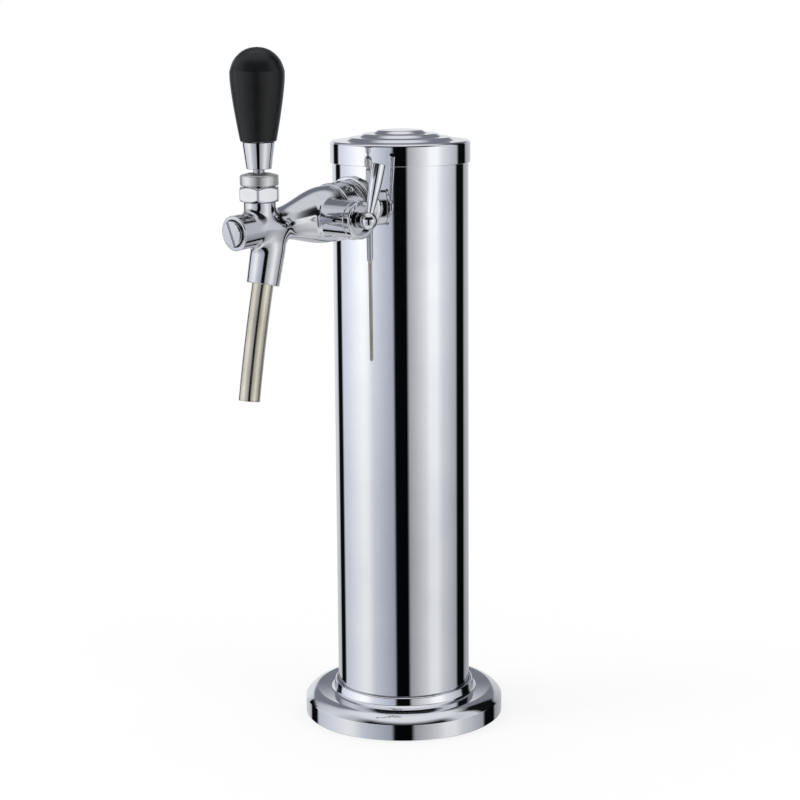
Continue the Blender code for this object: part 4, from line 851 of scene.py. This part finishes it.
@dataclass
class TapCasting:
    """The cast tap body with its fillets, in millimetres."""

    tail: Corners = (
        (0.0, 50.2), (13.0, 50.2), (13.0, 52.9), (11.7, 52.9), (11.7, 55.7), (15.3, 55.7, 1.4),
    )
    cone_radius: float = 15.3
    cone_flat: float = 60.0
    cone_front: float = 93.0
    neck_radius: float = 8.7
    rim_radius: float = 9.3
    rim_front: float = 124.9
    rim_round: float = 0.6
    nipple: Corners = (
        (0.0, 0.0), (8.4, 0.0), (8.4, 13.8, 0.5), (7.9, 13.8), (7.9, 18.5), (0.0, 18.5),
    )
    socket: Corners = (
        (0.0, 0.0), (8.5, 0.0), (8.75, 5.0, 9.0), (9.3, 11.0, 30.0), (8.75, 31.3, 0.55),
        (0.0, 31.3),
    )
    boss: Corners = ((0.0, 0.0), (9.8, 0.0), (9.8, 30.7, 0.45), (0.0, 30.7))
    mouth: Corners = ((0.0, 22.0), (6.0, 22.0), (6.0, 34.0), (0.0, 34.0))
    plug_seat: Corners = ((0.0, 122.3), (7.2, 122.3), (7.2, 128.0), (0.0, 128.0))
    pin_place: float = 96.0
    pin_hole: Corners = ((0.0, 7.3), (1.05, 7.3), (1.05, 12.0), (0.0, 12.0))
    pin: Corners = ((0.0, 7.4), (0.8, 7.4), (0.8, 8.4, 0.2), (0.0, 8.4))
    pin_turn: float = 2.0
    nipple_fillet: float = 3.5
    socket_fillet: float = 5.0
    boss_fillet: float = 1.8
    hole_edge: float = 0.25
    flare_steps: int = 60
    low: tuple[float, ...] = (-17.0, -127.0, -42.0)
    high: tuple[float, ...] = (32.0, -47.0, 15.0)
    cell: float = 0.38

    def spindle(self) -> Outline:
        """Outline of the barrel and its flared cone."""
        flare: list[Corner] = []
        for step in range(self.flare_steps + 1):
            share = step / self.flare_steps
            eased = share * share * (3 - 2 * share)
            radius = self.cone_radius - (self.cone_radius - self.neck_radius) * eased
            flare.append((radius, self.cone_flat + (self.cone_front - self.cone_flat) * share))
        rim = [(self.rim_radius, self.rim_front, self.rim_round), (0.0, self.rim_front)]
        return softened(list(self.tail) + flare + rim)

    def build(self, wardrobe: Wardrobe) -> None:
        """Builds the casting and its locking pin."""
        turn = Euler((0, math.pi / 2, math.radians(self.pin_turn))).to_matrix().to_4x4()
        pin_axis = AXES.tap @ Matrix.Translation((0, 0, self.pin_place)) @ turn
        solid = turned_field(self.spindle(), AXES.tap)
        for outline, place, fillet in (
            (self.nipple, AXES.handle, self.nipple_fillet),
            (self.socket, AXES.spout, self.socket_fillet),
            (self.boss, AXES.flow, self.boss_fillet),
        ):
            solid = blended(solid, turned_field(softened(outline), place), fillet)
        for outline, place in (
            (self.mouth, AXES.spout), (self.plug_seat, AXES.tap), (self.pin_hole, pin_axis),
        ):
            solid = without(solid, turned_field(list(outline), place), self.hole_edge)
        root = np.array([0, AXES.setback, AXES.tap_height])
        casting = surface_net(
            "tap_casting", solid, root + np.array(self.low), root + np.array(self.high), self.cell
        )
        wardrobe.dress(casting, CAST_CHROME, Body.TOWER, "tap_body")
        pin = turned("locking_pin", softened(self.pin), pin_axis, SMALL_TURN)
        wardrobe.dress(pin, MACHINED_STEEL, Body.TOWER, "body_pin")


@dataclass
class FrontPlug:
    """Slotted plug in the barrel's front, in millimetres along the tap's axis."""

    corners: Corners = (
        (0.0, 118.5), (6.0, 118.5), (6.0, 123.7), (6.7, 123.7), (6.7, 126.9, 0.4), (0.0, 126.9),
    )
    slot_half: float = 0.7
    slot_depth: float = 1.2
    slot_turn: float = 20.0
    slot_edges: tuple[float, float] = (0.05, 0.3)
    middle: float = 122.7
    reach: tuple[float, ...] = (8.4, 5.8, 9.0)
    cell: float = 0.2

    def build(self, wardrobe: Wardrobe) -> None:
        """Builds the plug with its slot."""
        face = self.corners[4][1]
        turn = Matrix.Rotation(math.radians(self.slot_turn), 4, "Z")
        solid = turned_field(softened(self.corners), AXES.tap)
        slot = common(
            slab_field(AXES.tap @ turn, (1, 0, 0), self.slot_half),
            above_field(AXES.tap, face - self.slot_depth), self.slot_edges[0],
        )
        solid = without(solid, slot, self.slot_edges[1])
        plug = net_round("slotted_plug", solid, AXES.tap, self.middle, self.reach, self.cell)
        wardrobe.dress(plug, CAST_CHROME, Body.TOWER, "front_plug")


@dataclass
class Bonnet:
    """Hexagonal bonnet nut and friction collar, in millimetres above the tap's axis."""

    across_flats: float = 20.3
    hexagon: Corners = (
        (8.2, 14.1), (10.2, 14.1), (11.55, 15.3), (11.55, 20.5), (10.2, 21.7), (8.3, 21.7),
        (8.3, 25.8), (7.3, 25.8), (7.3, 20.8), (8.2, 20.8),
    )
    corner_turn: float = 44.0
    collar: Corners = (
        (8.6, 22.3), (10.15, 22.3, 0.8), (10.15, 27.7, 0.9), (6.0, 28.8, 0.3),
        (6.0, 25.1), (7.0, 25.1), (7.0, 26.1), (8.6, 26.1),
    )
    corner_edge: float = 0.45
    middle: float = 20.0
    reach: tuple[float, ...] = (12.6, 12.6, 6.8)
    cell: float = 0.24

    def build(self, wardrobe: Wardrobe) -> None:
        """Builds the nut and the collar."""
        solid = turned_field(softened(self.hexagon), AXES.handle)
        for side in range(3):
            angle = math.radians(self.corner_turn + 30 + 60 * side)
            flat = (math.sin(angle), -math.cos(angle), 0)
            side_slab = slab_field(AXES.handle, flat, self.across_flats / 2)
            solid = common(solid, side_slab, self.corner_edge)
        nut = net_round(
            "hexagon_bonnet_nut", solid, AXES.handle, self.middle, self.reach, self.cell
        )
        wardrobe.dress(nut, CAST_CHROME, Body.TOWER, "bonnet_nut")
        collar = turned("round_friction_collar", softened(self.collar), AXES.handle)
        wardrobe.dress(collar, SATIN_CHROME, Body.TOWER, "friction_collar")


@dataclass
class Handle:
    """Lever, ferrule and drop-shaped knob, in millimetres above the handle's pivot."""

    tail_drop: float = 21.8
    tail_ball: float = 2.5
    tail_rod: float = 1.8
    ball: float = 5.6
    neck: float = 3.0
    neck_top: float = 18.5
    tail_rows: int = 16
    ball_rows: int = 24
    ferrule: Corners = (
        (0.0, 18.8), (3.3, 18.8), (3.3, 9.1, 0.2), (6.65, 9.1, 0.35), (8.6, 23.0, 0.35),
        (4.5, 23.0), (4.5, 35.0), (0.0, 35.0),
    )
    socket: Corners = ((0.0, 35.3), (4.8, 35.3), (4.8, 23.3), (8.9, 23.3), (9.35, 23.5))
    knob_side: tuple[tuple[float, float], ...] = (
        (9.5, 23.8), (9.79, 25.0), (11.34, 33.56), (12.99, 43.82), (14.06, 52.37), (14.35, 57.5),
        (14.05, 60.45), (12.0, 65.37), (8.3, 69.21), (4.2, 71.2), (0.0, 71.85),
    )

    def lever_outline(self) -> Outline:
        """Tail ball, rod, pivot ball and neck as one outline."""
        points: Outline = []
        join = math.asin(self.tail_rod / self.tail_ball)
        for angle in np.linspace(0, math.pi - join, self.tail_rows):
            radius = self.tail_ball * math.sin(angle)
            points.append((radius, -self.tail_drop - self.tail_ball * math.cos(angle)))
        low, high = math.asin(self.tail_rod / self.ball), math.asin(self.neck / self.ball)
        for angle in np.linspace(low, math.pi - high, self.ball_rows):
            points.append((self.ball * math.sin(angle), -self.ball * math.cos(angle)))
        return points + [(self.neck, self.neck_top), (0.0, self.neck_top)]

    def build(self, wardrobe: Wardrobe) -> None:
        """Builds the three pieces."""
        lever = turned("ball_lever", self.lever_outline(), AXES.pivot, SMALL_TURN)
        wardrobe.dress(lever, MACHINED_STEEL, Body.HANDLE, "handle_lever")
        ferrule = turned("tapered_ferrule", softened(self.ferrule), AXES.pivot)
        wardrobe.dress(ferrule, CHROME_PLATE, Body.HANDLE, "handle_ferrule")
        knob = turned(
            "drop_knob", list(self.socket) + curve_through(self.knob_side), AXES.pivot
        )
        wardrobe.dress(knob, MOULDED_PHENOLIC, Body.HANDLE, "handle_knob")


@dataclass
class Spout:
    """Bent stainless tube, in millimetres."""

    seat: float = 13.5
    socket_end: float = 31.3
    exposed: float = 62.0
    radius: float = 5.7
    bore: float = 4.7
    tip_tilt: float = 8.4
    rim: float = 0.2
    rim_rows: int = 9
    steps: int = 40

    def stations(self) -> list[tuple[float, float, float]]:
        """(forward, height, tilt) along the tube's middle line, from its seat to its tip."""
        tilt = math.radians(AXES.spout_tilt)
        start = AXES.height_on_tap(AXES.spout_reach)
        places = []
        for along in (self.seat, self.socket_end):
            places.append((
                AXES.spout_reach + math.sin(tilt) * along, start - math.cos(tilt) * along, tilt
            ))
        forward, height, _ = places[-1]
        change = math.radians(self.tip_tilt) - tilt
        for step in range(self.steps):
            middle = tilt + change * (step + 0.5) / self.steps
            forward += self.exposed / self.steps * math.sin(middle)
            height -= self.exposed / self.steps * math.cos(middle)
            places.append((forward, height, tilt + change * (step + 1) / self.steps))
        return places

    def build(self, wardrobe: Wardrobe) -> None:
        """Builds the tube, with the rounded rim of its tip."""
        places = self.stations()
        tip = places[-1]
        skin = [(place, self.radius) for place in places[:-1]]
        for turn in np.linspace(0, math.pi, self.rim_rows):
            back = self.rim * (1 - math.sin(turn))
            middle = (self.radius + self.bore) / 2
            radius = middle + (self.radius - self.bore) / 2 * math.cos(turn)
            lifted = (tip[0] - back * math.sin(tip[2]), tip[1] + back * math.cos(tip[2]), tip[2])
            skin.append((lifted, radius))
        skin += [(place, self.bore) for place in places[-2::-1]]
        angles = np.linspace(0, math.tau, SMALL_TURN, endpoint=False)
        rings = []
        for (forward, height, tilt), radius in skin:
            over = radius * np.sin(angles)
            rings.append(np.column_stack([
                radius * np.cos(angles), AXES.setback - forward - over * math.cos(tilt),
                height + over * math.sin(tilt),
            ]))
        tube = ring_grid("bent_spout", np.stack(rings))
        wardrobe.dress(tube, DRAWN_STEEL, Body.TOWER, "spout_tube")


@dataclass
class FlowControl:
    """Gland nut, ball hub and pin lever, in millimetres along the side axis and the lever."""

    gland: Corners = (
        (3.3, 26.3), (6.0, 26.3), (6.0, 31.0), (10.2, 31.0, 0.5), (10.2, 35.0, 0.7),
        (7.8, 35.0, 0.35), (7.8, 32.6), (3.3, 32.6),
    )
    hub_radius: float = 4.7
    hub_neck: float = 4.2
    hub_start: float = 33.3
    shaft_fit: float = 3.3
    shaft_end: float = 37.1
    ball_rows: int = 28
    lever_side: tuple[tuple[float, float], ...] = (
        (1.9, 1.5), (1.96, 4.9), (2.6, 10.0), (3.2, 15.3), (3.5, 19.3), (3.72, 23.3), (3.85, 29.5),
    )
    lever_end: Corners = ((3.85, 30.3, 0.5), (0.0, 30.3))

    def build(self, wardrobe: Wardrobe) -> None:
        """Builds the three pieces."""
        gland = turned("gland_ring", softened(self.gland), AXES.flow)
        wardrobe.dress(gland, CAST_CHROME, Body.TOWER, "gland_nut")
        join = math.asin(self.hub_neck / self.hub_radius)
        ball = [
            (self.hub_radius * math.sin(angle), AXES.hub_place - self.hub_radius * math.cos(angle))
            for angle in np.linspace(join, math.pi, self.ball_rows)[:-1]
        ]
        outline = [
            (0.0, self.shaft_end), (self.shaft_fit, self.shaft_end),
            (self.shaft_fit, self.hub_start), (self.hub_neck, self.hub_start), *ball,
            (0.0, AXES.hub_place + self.hub_radius),
        ]
        hub = turned("ball_hub", outline, AXES.flow, SMALL_TURN)
        wardrobe.dress(hub, CAST_CHROME, Body.FLOW_LEVER, "flow_hub")
        side = [(0.0, self.lever_side[0][1])] + curve_through(self.lever_side)
        pin = turned("pin_lever", softened(side + list(self.lever_end)), AXES.lever, SMALL_TURN)
        wardrobe.dress(pin, CHROME_PLATE, Body.FLOW_LEVER, "flow_lever")


@dataclass(frozen=True)
class Zone:
    """A range of heights on the mirrored studio, from none of a tone to all of it.

    With no tone of its own it takes the upper cards.
    """

    tone: str
    start: float
    end: float
    blend: str = "MIX"


@dataclass
class Studio:
    """Pale floor, soft lamps and the cards that the chrome mirrors."""

    camera_bearing: float = 44.0
    cards: Ring = (
        (-180, "#D2D3D6"), (-151, "#D6D8DC"), (-142, "#BFC1C6"), (-139, "#0C0D0F"),
        (-124, "#0C0D0F"),
        (-120, "#D0D4DC"), (-105, "#DCE0EA"), (-85, "#F2F4FA"), (-72, "#FFFFFF"), (-62, "#FAFBFC"),
        (-50, "#D6DAE2"), (-30, "#BCC0CC"), (-15, "#A8ACB8"), (-11, "#07080A"), (9, "#050607"),
        (13, "#A6A7AA"), (25, "#C0C1C5"), (40, "#DDDDE0"), (50, "#F6F6F8"), (62, "#F8F8FA"),
        (74, "#D8D9DE"), (90, "#C2C4CA"), (105, "#ABADB3"), (110, "#0A0B0C"), (131, "#080909"),
        (136, "#A0A1A4"), (150, "#B4B5B9"), (179, "#D2D3D6"),
    )
    upper: Ring = (
        (-180, "#74767F"), (-140, "#74767F"), (-125, "#B9BBC0"), (-100, "#D0D2D8"),
        (-70, "#B0B2B8"),
        (-50, "#1C1D20"), (0, "#0C0D0F"), (55, "#1C1D20"), (75, "#C4C6CC"), (100, "#C4C6CC"),
        (108, "#0E0F11"), (134, "#0E0F11"), (142, "#74767F"), (179, "#74767F"),
    )
    zones: tuple[Zone, ...] = (
        Zone("#E4E4E4", -0.10, -0.31, "MULTIPLY"), Zone("", 0.22, 0.34),
        Zone("#DADBE0", 0.72, 0.90), Zone("#E6E6E9", -0.75, -0.95),
    )
    card_light: float = 1.22
    soft_light: float = 0.95
    floor_half: float = 4.0
    glow_distances: tuple[float, float] = (0.10, 0.42)
    glow_shares: tuple[float, float] = (0.70, 1.0)
    lamps: tuple[tuple[str, tuple[float, ...], float], ...] = (
        ("key_lamp", (-0.9, -1.3, 1.5), 9.0), ("side_lamp", (1.7, 0.2, 1.0), 5.0),
    )
    lamp_side: float = 0.9
    lamp_aim: tuple[float, ...] = (0.0, 0.0, 0.18)

    @staticmethod
    def ring(
        tree: Tree, cards: Ring, share: Socket
    ) -> Socket:
        """Blends the cards' tones all round the tower, looked up by a share of the full turn."""
        ramp = add_node(tree, "ValToRGB", {"Fac": share})
        stops = ramp.color_ramp.elements
        for number, (bearing, tone) in enumerate(cards):
            place = (bearing + 180) / 360
            stop = stops[number] if number < 1 else stops.new(place)
            stop.position = place
            stop.color = linear(tone)
        stops.remove(stops[len(stops) - 1])
        return ramp.outputs["Color"]

    def world(self) -> None:
        """White for the camera, plain soft light for matt surfaces, the cards for metal."""
        world = bpy.data.worlds.new("studio")
        bpy.context.scene.world = world
        tree = empty_tree(world)
        way = add_node(tree, "TexCoord", {}).outputs["Generated"]
        turned_way = add_node(tree, "Mapping", {
            "Vector": way, "Rotation": (0, 0, math.radians(90 - self.camera_bearing)),
        }, vector_type="POINT").outputs["Vector"]
        split = add_node(tree, "SeparateXYZ", {"Vector": turned_way})
        bearing = add_node(
            tree, "Math", {0: split.outputs["Y"], 1: split.outputs["X"]},
            operation="ARCTAN2",
        )
        share = add_node(tree, "MapRange", {
            "Value": bearing.outputs[0], "From Min": -math.pi, "From Max": math.pi,
        })
        colour = self.ring(tree, self.cards, share.outputs["Result"])
        upper = self.ring(tree, self.upper, share.outputs["Result"])
        for zone in self.zones:
            near = add_node(tree, "MapRange", {
                "Value": split.outputs["Z"], "From Min": zone.start, "From Max": zone.end,
            }, interpolation_type="SMOOTHSTEP")
            colour = add_node(tree, "Mix", {
                0: near.outputs["Result"], 6: colour, 7: linear(zone.tone) if zone.tone else upper,
            }, data_type="RGBA", blend_type=zone.blend).outputs[2]
        path = add_node(tree, "LightPath", {}).outputs
        mirrored = add_node(
            tree, "Math",
            {0: path["Is Glossy Ray"], 1: path["Is Transmission Ray"]}, operation="MAXIMUM",
        )
        plain, studio, white = (
            add_node(tree, "Background", {"Color": tone, "Strength": strength})
            for tone, strength in (
                (linear(WHITE), self.soft_light), (colour, self.card_light), (linear(WHITE), 1.0),
            )
        )
        both = add_node(tree, "MixShader", {
            0: mirrored.outputs[0], 1: plain.outputs[0], 2: studio.outputs[0],
        })
        seen = add_node(tree, "MixShader", {
            0: path["Is Camera Ray"], 1: both.outputs[0], 2: white.outputs[0],
        })
        add_node(tree, "OutputWorld", {"Surface": seen.outputs[0]})

    def floor(self) -> None:
        """A white floor that stays white to the camera and keeps the tower's shadow."""
        half = self.floor_half
        mesh = bpy.data.meshes.new("studio_floor")
        mesh.from_pydata(
            [(-half, -half, 0), (half, -half, 0), (half, half, 0), (-half, half, 0)],
            [], [(0, 1, 2, 3)],
        )
        plane = bpy.data.objects.new("studio_floor", mesh)
        bpy.context.scene.collection.objects.link(plane)
        plane.visible_glossy = False
        plane.visible_transmission = False
        material = bpy.data.materials.new("white_paper_floor")
        tree = empty_tree(material)
        paper = add_node(tree, "BsdfDiffuse", {"Color": linear("#F4F4F3")})
        glow = add_node(tree, "Emission", {"Color": linear(WHITE), "Strength": 1.0})
        path = add_node(tree, "LightPath", {}).outputs
        place = add_node(tree, "TexCoord", {}).outputs["Object"]
        away = add_node(tree, "VectorMath", {0: place}, operation="LENGTH")
        fade = add_node(tree, "MapRange", {
            "Value": away.outputs["Value"],
            "From Min": self.glow_distances[0], "From Max": self.glow_distances[1],
            "To Min": self.glow_shares[0], "To Max": self.glow_shares[1],
        }, interpolation_type="SMOOTHSTEP")
        share = add_node(
            tree, "Math", {0: path["Is Camera Ray"], 1: fade.outputs["Result"]},
            operation="MULTIPLY",
        )
        seen = add_node(tree, "MixShader", {
            0: share.outputs[0], 1: paper.outputs[0], 2: glow.outputs[0],
        })
        add_node(tree, "OutputMaterial", {"Surface": seen.outputs[0]})
        mesh.materials.append(material)

    def lamp(self, name: str, place: Sequence[float], power: float) -> None:
        """Hangs a soft square lamp that points at the tower's middle and isn't mirrored."""
        data = bpy.data.lights.new(name, "AREA")
        data.size = self.lamp_side
        data.energy = power
        lamp = bpy.data.objects.new(name, data)
        lamp.location = place
        aim = Vector(self.lamp_aim) - Vector(place)
        lamp.rotation_euler = aim.to_track_quat("-Z", "Y").to_euler()
        lamp.visible_glossy = False
        lamp.visible_camera = False
        bpy.context.scene.collection.objects.link(lamp)

    def build(self) -> None:
        """Builds the world, the floor and the lamps."""
        self.world()
        self.floor()
        for lamp in self.lamps:
            self.lamp(*lamp)
        log.info("studio built")


@dataclass
class Viewpoint:
    """The photograph's camera, fitted to the column's edges."""

    bearing: float = 44.0
    distance: float = 1.158
    height: float = 0.4067
    aim_height: float = 0.1837
    lens: float = 93.15
    sensor: float = 36.0
    frame_width: float = 800.0
    aim_offset: float = 1.9
    roll: float = -0.4
    clip_start: float = 0.05

    def build(self) -> None:
        """Makes the camera and looks through it."""
        data = bpy.data.cameras.new("photo_camera")
        data.lens = self.lens
        data.sensor_width = self.sensor
        data.clip_start = self.clip_start
        camera = bpy.data.objects.new("photo_camera", data)
        turn = math.radians(self.bearing)
        column = AXES.setback * MM
        camera.location = (
            self.distance * math.sin(turn), column - self.distance * math.cos(turn), self.height
        )
        aim = Vector((0, column, self.aim_height)) - camera.location
        pixel_length = self.lens / self.sensor * self.frame_width
        swing = Matrix.Rotation(math.atan(self.aim_offset / pixel_length), 4, "Y")
        tilt = Matrix.Rotation(math.radians(self.roll), 4, "Z")
        facing = aim.to_track_quat("-Z", "Y").to_matrix().to_4x4() @ swing @ tilt
        camera.rotation_euler = facing.to_euler()
        bpy.context.scene.collection.objects.link(camera)
        bpy.context.scene.camera = camera
        bpy.context.scene.view_settings.view_transform = "Standard"


def main() -> None:
    """Builds the whole picture in order and reports each piece."""
    logging.basicConfig(level=logging.INFO, format="%(name)s: %(message)s")
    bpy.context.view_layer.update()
    wardrobe = Wardrobe()
    for part in frame["record"]["subparts"]:
        wardrobe.dress_node(part["node"], part["material_slot"])
    for assembly in (
        Base(), Column(), Cap(), TapMount(), TapCasting(), FrontPlug(), Bonnet(), Handle(),
        Spout(), FlowControl(),
    ):
        assembly.build(wardrobe)
        log.info("%s built", type(assembly).__name__)
    Studio().build()
    Viewpoint().build()
    bpy.context.view_layer.update()


if __name__ == "__main__":
    main()
